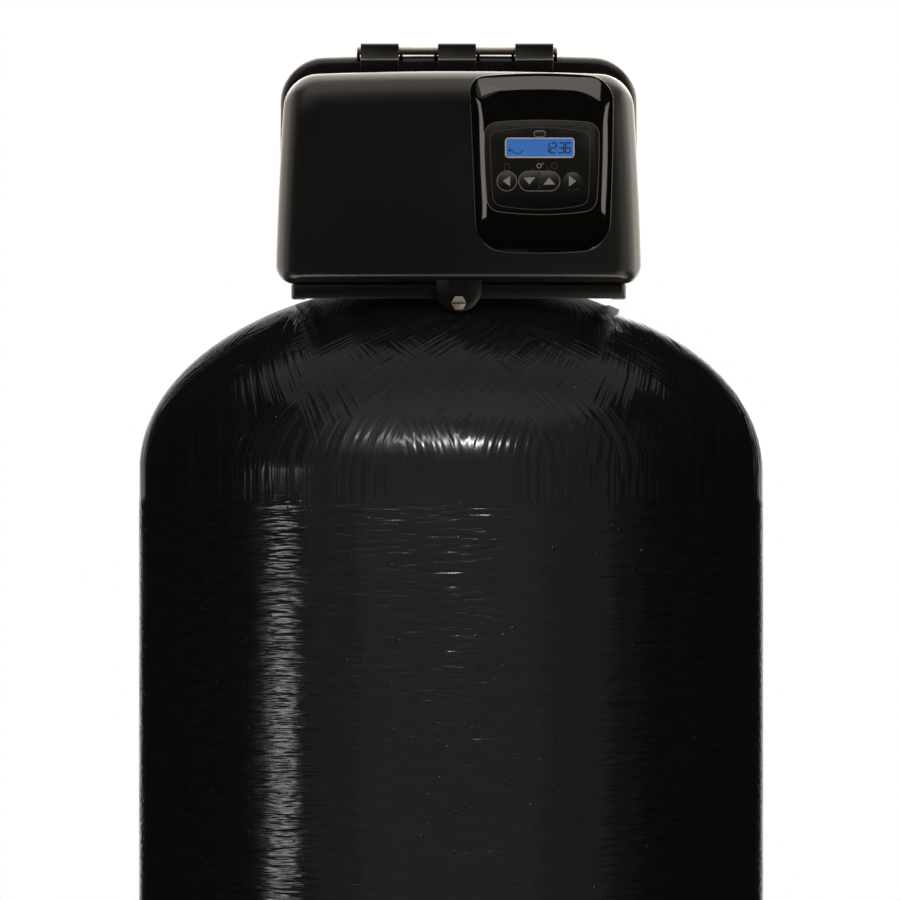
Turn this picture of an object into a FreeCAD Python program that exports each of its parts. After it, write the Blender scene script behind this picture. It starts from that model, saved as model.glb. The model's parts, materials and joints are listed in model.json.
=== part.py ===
import FreeCAD, Part
import math
import os
import re
import Sketcher

# A backwashing carbon water filter: a wound pressure tank on its foot, with an electronic
# control valve on the neck under a two-part cover. +Z is up and -Y is the front. The origin
# is on the floor, on the tank's axis. Valve pieces are drawn from the centre of the neck's
# top face, and covers from a point a little to its right. Each one's Placement carries it there.

doc = FreeCAD.newDocument("WaterFilter")
sheet = doc.addObject("Spreadsheet::Sheet", "Sizes")

SIZES = {
    # Pressure tank
    "tank_radius": 205,
    "dome_rise": 125,
    "dome_knuckle": 88,
    "shoulder_height": 1518,
    "pole_height": 14,
    "winding_wall": 4.5,
    "liner_wall": 4,
    "skin_gap": 0.25,
    "neck_rise": 8,
    "screw_clear": 3,
    "neck_radius": 54,
    "neck_hub": 48,
    "neck_depth": 39,
    "neck_bore": 36.5,
    # Foot under the tank
    "foot_height": 150,
    "foot_knee": 65,
    "foot_wall": 4,
    "foot_flare": 13,
    "foot_seat": 150,
    # What the tank holds
    "gravel_top": 230,
    "carbon_top": 1180,
    "riser_radius": 13.35,
    "riser_bore": 10.5,
    "basket_radius": 33,
    "basket_wall": 3,
    "basket_bottom": 25,
    "basket_height": 120,
    "basket_neck": 20,
    "slot_width": 2.5,
    "diffuser_radius": 27,
    "diffuser_height": 46,
    # Where the head sits on the neck
    "head_shift": 5,
    # Control valve
    "plate_across": 70,
    "plate_deep": 52,
    "plate_height": 8,
    "plate_corner": 12,
    "plate_screw_x": 60,
    "plate_screw_y": 42,
    "spigot_drop": 26,
    "spigot_fit": 0.2,
    "boss_radius": 40,
    "barrel_height": 52,
    "barrel_radius": 34,
    "barrel_bore": 24,
    "barrel_front": 48,
    "barrel_back": 62,
    "barrel_end": 6,
    "flange_radius": 38,
    "flange_deep": 6,
    "seal_inner": 39,
    "seal_outer": 43,
    "seal_deep": 2,
    # Pipe ports at the back
    "port_shift": 42,
    "port_height": 39,
    "port_radius": 22,
    "port_bore": 14,
    "port_start": 8,
    "port_end": 92,
    "crossing_y": 30,
    "crossing_radius": 8,
    "nut_radius": 29,
    "nut_wall_back": 4,
    "nut_length": 26,
    "nut_grips": 8,
    "washer_thick": 2,
    "socket_radius": 21.4,
    "socket_bore": 16.8,
    "socket_depth": 28,
    "socket_end": 150,
    "tail_radius": 19.4,
    "collar_thick": 5,
    # Drain on top of the barrel
    "drain_y": 25,
    "drain_top": 96,
    "drain_boss": 14,
    "drain_bore": 9.5,
    "drain_rise": 10,
    "drain_end": 118,
    "drain_tail": 8,
    "drain_barb": 9,
    "drain_hole": 5.5,
    # Injector cap on the barrel's right side
    "injector_y": 10,
    "injector_radius": 13,
    "injector_end": 46,
    "injector_cap_radius": 15,
    "injector_cap_thick": 6,
    # Piston and its drive
    "stack_radius": 23.8,
    "stack_bore": 15.2,
    "stack_step": 8,
    "piston_radius": 15,
    "piston_waist": 9,
    "piston_length": 50,
    "rod_radius": 5,
    "rod_front": 94,
    "cap_ring": 26,
    "cap_bore": 13.1,
    "cap_front": 72,
    "cap_web": 60,
    "cap_step": 58,
    "bracket_thick": 3,
    "gear_module": 1,
    "main_teeth": 60,
    "wheel_teeth": 36,
    "pinion_teeth": 12,
    "gear_backlash": 0.2,
    "gear_width": 5,
    "gear_spacing": 6.5,
    "gear_gap": 1.5,
    "shaft_fit": 0.1,
    "post_radius": 2.2,
    "hub_radius": 4,
    "second_angle": 150,
    "first_angle": 215,
    "motor_angle": 250,
    "motor_radius": 14,
    "motor_length": 38,
    "motor_boss": 5,
    "gear_cover_front": 98,
    "gear_cover_thick": 2,
    "bracket_left": 86,
    "bracket_right": 106,
    "bracket_low": 10,
    "bracket_high": 110,
    # Electronics
    "board_left": 3,
    "board_right": 103,
    "board_low": 29,
    "board_high": 106,
    "board_back": 112.4,
    "board_thick": 1.6,
    "board_post": 4,
    "board_inset": 6,
    "board_foot": 33,
    "switch_side": 6,
    "switch_height": 3.8,
    "display_width": 54,
    "display_high": 22,
    "display_gap": 2.4,
    "screw_radius": 1.5,
    "screw_head": 3,
    # Covers
    "cover_low": 12,
    "cover_gap": 0.3,
    "cover_wall": 3,
    "cover_front": 128,
    "cover_split": 60,
    "cover_half_low": 120.3,
    "cover_half_high": 112.2,
    "cover_high": 129,
    "cover_crown": 3.6,
    "cover_round_low": 14,
    "cover_round_high": 20,
    "edge_depth": 18,
    "edge_side": 17,
    "edge_top": 20,
    "edge_bottom": 7,
    "edge_least": 5,
    "rear_half_low": 117.6,
    "rear_half_high": 116.8,
    "rear_high": 137.6,
    "rear_round_low": 13,
    "rear_round_high": 28,
    "rear_depth": 84,
    "rear_edge": 12,
    "rear_opening": 92,
    "rim_width": 12,
    "port_clearance": 2,
    # Rail and tray under the covers
    "tray_half": 109.7,
    "tray_drop": 9.5,
    "tray_bar": 9,
    "tray_front": 117.5,
    "tray_rail": 13,
    "tray_back": 80,
    "tray_web": 2.1,
    "tray_hole": 66,
    "tray_boss": 7,
    "lug_half": 9,
    "lug_thick": 4,
    "lug_low": 28.2,
    "lug_slot_rise": 5,
    # Hinge
    "hinge_back": 58,
    "hinge_high": 141.6,
    "hinge_radius": 2.9,
    "hinge_shift": -1.1,
    "hinge_fit": 0.1,
    "rib_fit": 0.05,
    "clip_width": 25,
    "clip_pitch": 50.7,
    "clip_wall": 1.6,
    "clip_front": 68,
    "clip_gap": 0.5,
    "rib_width": 2,
    "rib_wall": 1.5,
    "notch_depth": 1.6,
    # Ear and its screw
    "ear_half": 15,
    "ear_front": 124,
    "ear_thick": 5.2,
    "ear_hole": 24.6,
    "ear_low": 30.4,
    "cover_screw_radius": 2,
    "cover_screw_fit": 0.3,
    "cover_screw_tip": 111,
    "cover_screw_flats": 8.7,
    "cover_screw_head": 3.6,
    # Console
    "bezel_left": 7.2,
    "bezel_right": 101,
    "bezel_low": 7.6,
    "bezel_high": 124.6,
    "bezel_proud": 6.4,
    "bezel_rim": 0.8,
    "bezel_slope": 8,
    "bezel_taper": 3,
    "bezel_waist": 78,
    "console_centre": 54.3,
    "console_half": 37,
    "console_low": 33,
    "console_high": 94,
    "console_taper": 2.6,
    "recess_depth": 1.2,
    "panel_thick": 1,
    "panel_edge": 0.3,
    "display_centre_x": 53,
    "display_centre_z": 76.9,
    "window_half_x": 22.4,
    "window_half_z": 6.3,
    "window_back": 127.2,
    "pill_half_x": 3.5,
    "pill_half_z": 1.7,
    "pill_z": 86.2,
    "button_z": 55.4,
    "button_radius": 5.9,
    "button_left_x": 31.5,
    "button_pair_x": 52.7,
    "button_pair_half": 13,
    "button_pair_gap": 0.4,
    "button_right_x": 74.5,
    "button_fit": 0.3,
    "button_proud": 0.3,
    "button_travel": 1,
    "button_flange": 1.2,
    "button_lip": 1.3,
    "button_stem": 2.5,
}

for row, (alias, amount) in enumerate(SIZES.items(), start=1):
    sheet.set(f"A{row}", alias)
    sheet.set(f"B{row}", str(amount))
    sheet.setAlias(f"B{row}", alias)
doc.recompute()

nodes = []


def number(formula):
    """Work out a formula of sizes from the sheet."""
    return float(sheet.evalExpression(str(formula)))


def linked(formula):
    """The same formula, with each size name pointing at the sheet."""
    return re.sub(r"\b([a-z]\w*)\b(?!\s*\()", r"Sizes.\1", str(formula))


def place(thing, x, y, z):
    """Bind where a thing stands to formulas of sizes."""
    for axis, formula in zip("xyz", (x, y, z)):
        thing.setExpression(f"Placement.Base.{axis}", linked(formula))


CROWN = (
    "(((tank_radius - dome_knuckle)^2 + dome_rise^2 - dome_knuckle^2)"
    "/(2*(dome_rise - dome_knuckle)))"
)
# The neck clears the dome's pole, and carries the cover screw's tip clear of the dome
SCREW_RISE = (
    f"(screw_clear + ear_hole + cover_screw_radius - {CROWN}"
    f" + sqrt({CROWN}^2 - cover_screw_tip^2))"
)
NECK_TOP = f"(shoulder_height + dome_rise + max(neck_rise; {SCREW_RISE}))"


def finish(thing, label, x="0", y="0", z="0"):
    """Name a finished sub-part and put it where it belongs."""
    thing.Label = label
    place(thing, x, y, z)
    nodes.append(thing)
    return thing


def on_neck(thing, label, x="0", y="0", z="0"):
    """Name a finished piece of the valve and stand it over the neck's axis."""
    return finish(thing, label, x, y, f"{NECK_TOP} + {z}")


def on_head(thing, label, x="0", y="0", z="0"):
    """Name a finished piece of the covers or console, which stand beside the neck's axis."""
    return finish(thing, label, f"head_shift + {x}", y, f"{NECK_TOP} + {z}")


# Sketches


def new_sketch(body, plane, offset="0"):
    """A sketch on one of the body's own origin planes."""
    sketch = body.newObject("Sketcher::SketchObject", "Sketch")
    role = [part for part in body.Origin.OriginFeatures if part.Role == plane]
    sketch.AttachmentSupport = [(role[0], "")]
    sketch.MapMode = "FlatFace"
    sketch.setExpression("AttachmentOffset.Base.z", linked(offset))
    return sketch


def draw(sketch, corners):
    """Draw a closed outline and bind its corners to the sheet.

    A corner is (across, up) or (across, up, arc), where arc is the (centre across, centre up,
    radius) of the round stretch that leads to the next corner.
    """
    count = len(corners)
    spots = [FreeCAD.Vector(number(corner[0]), number(corner[1]), 0) for corner in corners]
    sides = []
    rules = []
    formulas = []
    for index, corner in enumerate(corners):
        start, end = spots[index], spots[(index + 1) % count]
        if len(corner) == 2:
            sides.append((sketch.addGeometry(Part.LineSegment(start, end), False), 1, 2))
            continue
        across, up, radius = (number(part) for part in corner[2])
        middle = FreeCAD.Vector(across, up, 0)
        first = math.atan2(start.y - up, start.x - across)
        last = math.atan2(end.y - up, end.x - across)
        forward = (last - first) % math.tau < math.pi
        circle = Part.Circle(middle, FreeCAD.Vector(0, 0, 1), radius)
        arc = Part.ArcOfCircle(circle, *((first, last) if forward else (last, first)))
        side = sketch.addGeometry(arc, False)
        sides.append((side, 1, 2) if forward else (side, 2, 1))
        rules.append(Sketcher.Constraint("Radius", side, radius))
        formulas.append((len(rules) - 1, corner[2][2]))
    for index, corner in enumerate(corners):
        side, start, end = sides[index]
        following, join, _ = sides[(index + 1) % count]
        rules.append(Sketcher.Constraint("Coincident", side, end, following, join))
        for name, formula, value in (
            ("DistanceX", corner[0], spots[index].x),
            ("DistanceY", corner[1], spots[index].y),
        ):
            rules.append(Sketcher.Constraint(name, side, start, value))
            formulas.append((len(rules) - 1, formula))
    offset = sketch.ConstraintCount
    sketch.addConstraint(rules)
    for index, formula in formulas:
        sketch.setExpression(f"Constraints[{offset + index}]", linked(formula))


def draw_circle(sketch, across, up, radius):
    """Draw a circle whose centre and radius are bound to the sheet."""
    middle = FreeCAD.Vector(number(across), number(up), 0)
    circle = Part.Circle(middle, FreeCAD.Vector(0, 0, 1), number(radius))
    side = sketch.addGeometry(circle, False)
    for name, spot, formula in (
        ("DistanceX", (side, 3), across),
        ("DistanceY", (side, 3), up),
        ("Radius", (side,), radius),
    ):
        rule = sketch.addConstraint(Sketcher.Constraint(name, *spot, number(formula)))
        sketch.setExpression(f"Constraints[{rule}]", linked(formula))


# PartDesign bodies


def lathe(corners, along="z"):
    """A body turned about the z axis, or about the y axis from corners of (radius, y)."""
    body = doc.addObject("PartDesign::Body", "Turned")
    sketch = new_sketch(body, "XZ_Plane" if along == "z" else "XY_Plane")
    draw(sketch, corners)
    turned = body.newObject("PartDesign::Revolution", "Revolution")
    turned.Profile = (sketch, [""])
    turned.ReferenceAxis = (sketch, ["V_Axis"])
    turned.Angle = 360
    sketch.Visibility = False
    return body


def slots(body, width, low, high, reach, count):
    """Cut upright slots through a body's wall, spread evenly about its axis."""
    sketch = new_sketch(body, "XZ_Plane")
    half = f"{width}/2"
    draw(sketch, [(f"-{half}", low), (half, low), (half, high), (f"-{half}", high)])
    cut = body.newObject("PartDesign::Pocket", "Slot")
    cut.Profile = (sketch, [""])
    cut.Reversed = True
    cut.setExpression("Length", linked(reach))
    ring = body.newObject("PartDesign::PolarPattern", "Slots")
    ring.Originals = [cut]
    ring.Axis = (sketch, ["V_Axis"])
    ring.Angle = 360
    ring.setExpression("Occurrences", linked(count))
    body.Tip = ring


def plate(outlines, front, back, circles=()):
    """A body padded between two depths in front of the neck's axis, given as distances."""
    body = doc.addObject("PartDesign::Body", "Plate")
    sketch = new_sketch(body, "XZ_Plane", back)
    for outline in outlines:
        draw(sketch, outline)
    for circle in circles:
        draw_circle(sketch, *circle)
    pad = body.newObject("PartDesign::Pad", "Pad")
    pad.Profile = (sketch, [""])
    pad.setExpression("Length", linked(f"{front} - ({back})"))
    return body


def round_edges(body, radius, direction):
    """Round the body's outer edges that run along a direction."""
    doc.recompute()
    base = body.Tip
    box = base.Shape.BoundBox
    names = []
    for index, edge in enumerate(base.Shape.Edges, start=1):
        if not isinstance(edge.Curve, Part.Line):
            continue
        if abs(edge.tangentAt(edge.FirstParameter).dot(direction)) < 0.99:
            continue
        middle = edge.CenterOfMass - box.Center
        if abs(middle.x) > 0.4 * box.XLength and abs(middle.z) > 0.4 * box.ZLength:
            names.append(f"Edge{index}")
    fillet = body.newObject("PartDesign::Fillet", "Rounding")
    fillet.Base = (base, names)
    fillet.setExpression("Radius", linked(radius))
    body.Tip = fillet


# Part primitives and booleans


def block(x1, x2, y1, y2, z1, z2):
    """A box between two corners."""
    box = doc.addObject("Part::Box", "Block")
    for name, low, high in (("Length", x1, x2), ("Width", y1, y2), ("Height", z1, z2)):
        box.setExpression(name, linked(f"({high}) - ({low})"))
    place(box, x1, y1, z1)
    return box


TURNS = {
    "x": FreeCAD.Rotation(FreeCAD.Vector(0, 1, 0), 90),
    "y": FreeCAD.Rotation(FreeCAD.Vector(1, 0, 0), -90),
    "z": FreeCAD.Rotation(),
}


def pin(x, y, z, radius, length, along="z"):
    """A cylinder that starts at a point and runs along an axis."""
    cylinder = doc.addObject("Part::Cylinder", "Pin")
    cylinder.Placement.Rotation = TURNS[along]
    cylinder.setExpression("Radius", linked(radius))
    cylinder.setExpression("Height", linked(length))
    place(cylinder, x, y, z)
    return cylinder


def fused(*shapes):
    """Several shapes as one solid, or as one group where they don't touch."""
    union = doc.addObject("Part::MultiFuse", "Union")
    union.Shapes = list(shapes)
    union.Refine = False
    return union


def less(base, *tools):
    """A shape with others cut out of it."""
    cut = doc.addObject("Part::Cut", "Cut")
    cut.Base = base
    cut.Tool = tools[0] if len(tools) == 1 else fused(*tools)
    cut.Refine = False
    return cut


def shaped(shape):
    """A document object for a shape worked out from the sheet's sizes."""
    feature = doc.addObject("Part::Feature", "Shaped")
    feature.Shape = shape
    return feature


# Domes: a knuckle arc at the wall and a crown arc over the top, tangent to each other

POLE = "(pole_height + dome_rise)"


def crown_height(base, sign, depth, radius):
    """How high a dome's crown is at a radius, at a depth under the wound surface."""
    return f"({base} + {sign}*(dome_rise - {CROWN} + sqrt(({CROWN} - {depth})^2 - ({radius})^2)))"


def dome(base, sign, depth, end):
    """Corners of a dome's outline from its foot on the tank's wall to a radius on its crown."""
    spread = f"({CROWN} - dome_knuckle)"
    knuckle = f"(dome_knuckle - {depth})"
    crown = f"({CROWN} - {depth})"
    join_up = f"{base} + {sign}*{knuckle}*({CROWN} - dome_rise)/{spread}"
    return [
        (f"tank_radius - {depth}", base, ("tank_radius - dome_knuckle", base, knuckle)),
        (
            f"(tank_radius - dome_knuckle)*{crown}/{spread}",
            join_up,
            ("0", f"{base} + {sign}*(dome_rise - {CROWN})", crown),
        ),
        (end, crown_height(base, sign, depth, end)),
    ]


def backwards(corners):
    """The same stretch of outline, drawn the other way."""
    sides = [corner[2:] for corner in corners[:-1]]
    spots = [corner[:2] for corner in reversed(corners)]
    return [spot + side for spot, side in zip(spots, reversed([()] + sides))]


# Tank: the winding and the liner are closed skins, open only at the neck


def tank_skin(outside, inside):
    """One skin of the tank between two depths under its wound surface."""
    hole = "neck_hub + skin_gap"
    return lathe(
        backwards(dome("shoulder_height", 1, inside, hole))
        + dome(POLE, -1, inside, "0")
        + backwards(dome(POLE, -1, outside, "0"))
        + dome("shoulder_height", 1, outside, hole)
    )


LINER_OUT = "(winding_wall + skin_gap)"
LINER_IN = "(winding_wall + skin_gap + liner_wall)"
finish(tank_skin("0", "winding_wall"), "tank_winding")
finish(tank_skin(LINER_OUT, LINER_IN), "tank_liner")

# Foot: a moulded boot with a dished seat and a skirt down to the floor

FOOT = "(tank_radius + skin_gap + foot_wall)"
UNDER = dome(POLE, -1, "(-skin_gap - foot_wall)", "foot_seat + foot_wall")
foot = lathe(
    [
        (f"{FOOT} - foot_flare - foot_wall", "0"),
        (f"{FOOT} - foot_flare", "0"),
        (FOOT, "foot_knee"),
        (FOOT, "foot_height"),
        (f"{FOOT} - foot_wall", "foot_height"),
    ]
    + dome(POLE, -1, "(-skin_gap)", "foot_seat")
    + [("foot_seat", "0"), ("foot_seat + foot_wall", "0"), UNDER[2][:2] + UNDER[1][2:]]
    + [UNDER[1][:2], (f"{FOOT} - foot_wall", "foot_knee + foot_wall")]
)
finish(foot, "tank_foot")

# Neck insert with its seal groove, resting on the winding


def winding_height(radius):
    """How high the wound surface is at a radius on the top dome."""
    return crown_height("shoulder_height", 1, "0", radius)


neck = lathe(
    [
        ("neck_bore", f"{NECK_TOP} - neck_depth"),
        ("neck_hub", f"{NECK_TOP} - neck_depth"),
        ("neck_hub", f"{winding_height('neck_hub')} + skin_gap"),
        ("neck_radius", f"{winding_height('neck_radius')} + skin_gap"),
        ("neck_radius", NECK_TOP),
        ("seal_outer", NECK_TOP),
        ("seal_outer", f"{NECK_TOP} - seal_deep"),
        ("seal_inner", f"{NECK_TOP} - seal_deep"),
        ("seal_inner", NECK_TOP),
        ("neck_bore", NECK_TOP),
    ]
)
finish(neck, "tank_neck")
seal = lathe(
    [
        ("seal_inner", f"{NECK_TOP} - seal_deep"),
        ("seal_outer", f"{NECK_TOP} - seal_deep"),
        ("seal_outer", NECK_TOP),
        ("seal_inner", NECK_TOP),
    ]
)
finish(seal, "neck_seal")

# Gravel, carbon, riser tube and the strainer baskets at its ends

BED_DEPTH = f"({LINER_IN} + skin_gap)"
BED = f"(tank_radius - {BED_DEPTH})"
BASKET_TOP = "(basket_bottom + basket_height)"
RISER_HOLE = "(riser_radius + skin_gap)"
gravel = lathe(
    backwards(dome(POLE, -1, BED_DEPTH, "basket_radius + skin_gap"))
    + [
        (BED, "gravel_top"),
        (RISER_HOLE, "gravel_top"),
        (RISER_HOLE, f"{BASKET_TOP} + skin_gap"),
        ("basket_radius + skin_gap", f"{BASKET_TOP} + skin_gap"),
    ]
)
finish(gravel, "gravel_bed")
carbon = lathe(
    [
        (RISER_HOLE, "gravel_top"),
        (BED, "gravel_top"),
        (BED, "carbon_top"),
        (RISER_HOLE, "carbon_top"),
    ]
)
finish(carbon, "carbon_bed")
riser = lathe(
    [
        ("riser_bore", f"{BASKET_TOP} - basket_neck"),
        ("riser_radius", f"{BASKET_TOP} - basket_neck"),
        ("riser_radius", NECK_TOP),
        ("riser_bore", NECK_TOP),
    ]
)
finish(riser, "riser_tube")
basket = lathe(
    [
        ("0", "basket_bottom"),
        ("basket_radius", "basket_bottom"),
        ("basket_radius", BASKET_TOP),
        ("riser_radius + shaft_fit", BASKET_TOP),
        ("riser_radius + shaft_fit", f"{BASKET_TOP} - basket_neck"),
        ("riser_bore", f"{BASKET_TOP} - basket_neck"),
        ("riser_bore", f"{BASKET_TOP} - basket_neck - basket_wall"),
        ("basket_radius - basket_wall", f"{BASKET_TOP} - basket_neck - basket_wall"),
        ("basket_radius - basket_wall", "basket_bottom + basket_wall"),
        ("0", "basket_bottom + basket_wall"),
    ]
)
BASKET_SLOTS = f"{BASKET_TOP} - basket_neck - 3*basket_wall"
slots(basket, "slot_width", "basket_bottom + 2*basket_wall", BASKET_SLOTS, "2*basket_radius", "12")
finish(basket, "lower_distributor")
diffuser = lathe(
    [
        (RISER_HOLE, "-spigot_drop - diffuser_height"),
        ("diffuser_radius", "-spigot_drop - diffuser_height"),
        ("diffuser_radius", "-spigot_drop"),
        ("diffuser_radius - basket_wall", "-spigot_drop"),
        ("diffuser_radius - basket_wall", "-spigot_drop - diffuser_height + basket_wall"),
        (RISER_HOLE, "-spigot_drop - diffuser_height + basket_wall"),
    ]
)
DIFFUSER_LOW = "-spigot_drop - diffuser_height + 3*basket_wall"
DIFFUSER_HIGH = "-spigot_drop - 3*basket_wall"
slots(diffuser, "slot_width", DIFFUSER_LOW, DIFFUSER_HIGH, "2*diffuser_radius", "8")
on_neck(diffuser, "upper_diffuser")

# Valve body: mounting plate, spigot, barrel, two pipe ports, drain boss and injector stub

PLATE_X = ("-plate_screw_x", "plate_screw_x")
PLATE_Y = ("-plate_screw_y", "plate_screw_y")
PORTS = ("-port_shift", "port_shift")
BARREL_LONG = "barrel_front + barrel_back"
SPIGOT = "(neck_bore - spigot_fit)"
mounting = doc.addObject("PartDesign::Body", "Mounting")
mounting_sketch = new_sketch(mounting, "XY_Plane")
corners = [(x, y) for x, y in ((-1, -1), (1, -1), (1, 1), (-1, 1))]
draw(mounting_sketch, [(f"{x}*plate_across", f"{y}*plate_deep") for x, y in corners])
mounting_pad = mounting.newObject("PartDesign::Pad", "Pad")
mounting_pad.Profile = (mounting_sketch, [""])
mounting_pad.setExpression("Length", "Sizes.plate_height")
doc.recompute()
upright = [
    f"Edge{index}"
    for index, edge in enumerate(mounting_pad.Shape.Edges, start=1)
    if abs(edge.tangentAt(edge.FirstParameter).z) > 0.99
]
mounting_round = mounting.newObject("PartDesign::Fillet", "Rounding")
mounting_round.Base = (mounting_pad, upright)
mounting_round.setExpression("Radius", "Sizes.plate_corner")
valve = less(
    fused(
        mounting,
        pin("0", "0", "-spigot_drop", SPIGOT, "spigot_drop + plate_height"),
        pin("0", "0", "0", "boss_radius", "barrel_height - 0.2*barrel_radius"),
        pin("0", "-barrel_front", "barrel_height", "barrel_radius", BARREL_LONG, "y"),
        pin("0", "-barrel_front", "barrel_height", "flange_radius", "flange_deep", "y"),
        *[
            pin(x, "port_start", "port_height", "port_radius", "port_end - port_start", "y")
            for x in PORTS
        ],
        pin("0", "drain_y", "barrel_height", "drain_boss", "drain_top - barrel_height"),
        pin("0", "-injector_y", "barrel_height", "injector_radius", "injector_end", "x"),
    ),
    pin("0", "-barrel_front", "barrel_height", "barrel_bore", f"{BARREL_LONG} - barrel_end", "y"),
    pin("0", "0", "-spigot_drop", RISER_HOLE, "spigot_drop + barrel_height"),
    *[
        pin(x, "crossing_y - crossing_radius", "port_height", "port_bore",
            "port_end + crossing_radius - crossing_y", "y")
        for x in PORTS
    ],
    pin("-port_shift", "crossing_y", "port_height", "crossing_radius", "2*port_shift", "x"),
    pin("0", "drain_y", "barrel_height", "drain_bore", "drain_top - barrel_height"),
    pin("0", "-injector_y", "barrel_height", "0.5*injector_radius", "injector_end", "x"),
    *[pin(x, y, "0", "screw_radius + 1", "plate_height") for x in PLATE_X for y in PLATE_Y],
)
on_neck(valve, "valve_body")

# Seals and spacers stacked in the barrel, and the piston that slides through them

STACK_FRONT = "(barrel_front - stack_step)"
STACK_BACK = "(barrel_back - barrel_end)"
stack_corners = [("stack_radius", STACK_BACK), ("stack_radius", f"-{STACK_FRONT}")]
for groove in range(4):
    first = f"-{STACK_FRONT} + {2 * groove}*stack_step"
    if groove:
        stack_corners.append(("stack_bore + 3", first))
    stack_corners.append(("stack_bore", first))
    stack_corners.append(("stack_bore", f"{first} + stack_step"))
    stack_corners.append(("stack_bore + 3", f"{first} + stack_step"))
stack_corners.append(("stack_bore + 3", STACK_BACK))
# From the axis outward the turned outline runs front to back inside, then forward outside
stack = lathe(stack_corners[1:] + stack_corners[:1], "y")
on_neck(stack, "seal_stack", z="barrel_height")

PISTON_FRONT = "(0.85*stack_step - barrel_front + 8)"
piston = lathe(
    [
        ("rod_radius", PISTON_FRONT),
        ("piston_radius", PISTON_FRONT),
        ("piston_radius", f"{PISTON_FRONT} + 0.3*piston_length"),
        ("piston_waist", f"{PISTON_FRONT} + 0.35*piston_length"),
        ("piston_waist", f"{PISTON_FRONT} + 0.6*piston_length"),
        ("piston_radius", f"{PISTON_FRONT} + 0.65*piston_length"),
        ("piston_radius", f"{PISTON_FRONT} + piston_length"),
        ("0", f"{PISTON_FRONT} + piston_length"),
        ("0", f"{PISTON_FRONT} + 0.2*piston_length"),
        ("rod_radius", f"{PISTON_FRONT} + 0.2*piston_length"),
    ],
    "y",
)
on_neck(piston, "piston", z="barrel_height")
ROD_BACK = f"({PISTON_FRONT} + 0.2*piston_length)"
piston_rod = lathe(
    [
        ("0", "-rod_front"),
        ("0.8*rod_radius", "-rod_front"),
        ("rod_radius", "-rod_front + 0.2*rod_radius"),
        ("rod_radius", ROD_BACK),
        ("0", ROD_BACK),
    ],
    "y",
)
on_neck(piston_rod, "piston_rod", z="barrel_height")

# Drive cap that closes the barrel and carries the main gear's hub

cap = lathe(
    [
        ("cap_bore", "-cap_front"),
        ("cap_ring", "-cap_front"),
        ("cap_ring", "-cap_step"),
        ("flange_radius", "-cap_step"),
        ("flange_radius", "-barrel_front"),
        ("barrel_bore - spigot_fit", "-barrel_front"),
        ("barrel_bore - spigot_fit", f"-{STACK_FRONT}"),
        ("rod_radius + shaft_fit", f"-{STACK_FRONT}"),
        ("rod_radius + shaft_fit", "-cap_web"),
        ("cap_bore", "-cap_web"),
    ],
    "y",
)
on_neck(cap, "drive_cap", z="barrel_height")

# Gear train: centres follow from the tooth counts, in three layers in front of the bracket

MAIN_MESH = "(gear_module*(main_teeth + pinion_teeth)/2)"
WHEEL_MESH = "(gear_module*(wheel_teeth + pinion_teeth)/2)"
SECOND_X = f"({MAIN_MESH}*cos(second_angle))"
SECOND_Z = f"(barrel_height + {MAIN_MESH}*sin(second_angle))"
FIRST_X = f"({SECOND_X} + {WHEEL_MESH}*cos(first_angle))"
FIRST_Z = f"({SECOND_Z} + {WHEEL_MESH}*sin(first_angle))"
MOTOR_X = f"({FIRST_X} + {WHEEL_MESH}*cos(motor_angle))"
MOTOR_Z = f"({FIRST_Z} + {WHEEL_MESH}*sin(motor_angle))"
BRACKET = "(cap_front + bracket_thick)"
PRESSURE_ANGLE = math.radians(25)


def layer(index):
    """How far in front of the neck's axis a gear layer starts."""
    return f"({BRACKET} + gear_gap + {index}*gear_spacing)"


def spur(teeth, phase, index, reach):
    """A toothed disc in one layer, as a solid about the y axis, with a tooth at an angle."""
    module = number("gear_module")
    pitch = module * teeth / 2
    base = pitch * math.cos(PRESSURE_ANGLE)
    root = pitch - 1.2 * module
    tip = pitch + 0.95 * module
    start = max(base, root)
    thickness = math.pi * module / 2 - number("gear_backlash")
    points = []
    for tooth in range(teeth):
        middle = phase + math.tau * tooth / teeth

        def flank(radius):
            roll = math.acos(min(base / radius, 1))
            involute = math.tan(roll) - roll
            at_pitch = math.tan(PRESSURE_ANGLE) - PRESSURE_ANGLE
            return thickness / (2 * pitch) + at_pitch - involute

        half = [(root, flank(start)), (start, flank(start)), (pitch, flank(pitch)), (tip, flank(tip))]
        if start - root < 0.05 * module:
            half = half[1:]
        for radius, angle in half:
            points.append((radius, middle - angle))
        for radius, angle in reversed(half):
            points.append((radius, middle + angle))
    front = -number(layer(index)) - reach
    ring = [FreeCAD.Vector(r * math.cos(a), front, r * math.sin(a)) for r, a in points]
    face = Part.Face(Part.makePolygon(ring + ring[:1]))
    return face.extrude(FreeCAD.Vector(0, reach, 0))


def disc(radius, front, back):
    """A plain cylinder about the y axis between two distances in front of the neck's axis."""
    length = number(front) - number(back)
    start = FreeCAD.Vector(0, -number(front), 0)
    return Part.makeCylinder(number(radius), length, start, FreeCAD.Vector(0, 1, 0))


def partner(phase, teeth, other, direction):
    """The tooth angle of a gear that meshes with another one lying in a direction from it."""
    lead = phase - direction
    ahead = (math.pi - teeth * lead) / other
    return direction + math.pi + ahead


main_teeth = int(number("main_teeth"))
wheel_teeth = int(number("wheel_teeth"))
pinion_teeth = int(number("pinion_teeth"))
width = number("gear_width")
second_phase = partner(0, main_teeth, pinion_teeth, math.radians(number("second_angle")))
wheel_phase = second_phase
first_direction = math.radians(number("first_angle"))
first_phase = partner(wheel_phase, wheel_teeth, pinion_teeth, first_direction)
motor_direction = math.radians(number("motor_angle"))
motor_phase = partner(first_phase, wheel_teeth, pinion_teeth, motor_direction)

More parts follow.
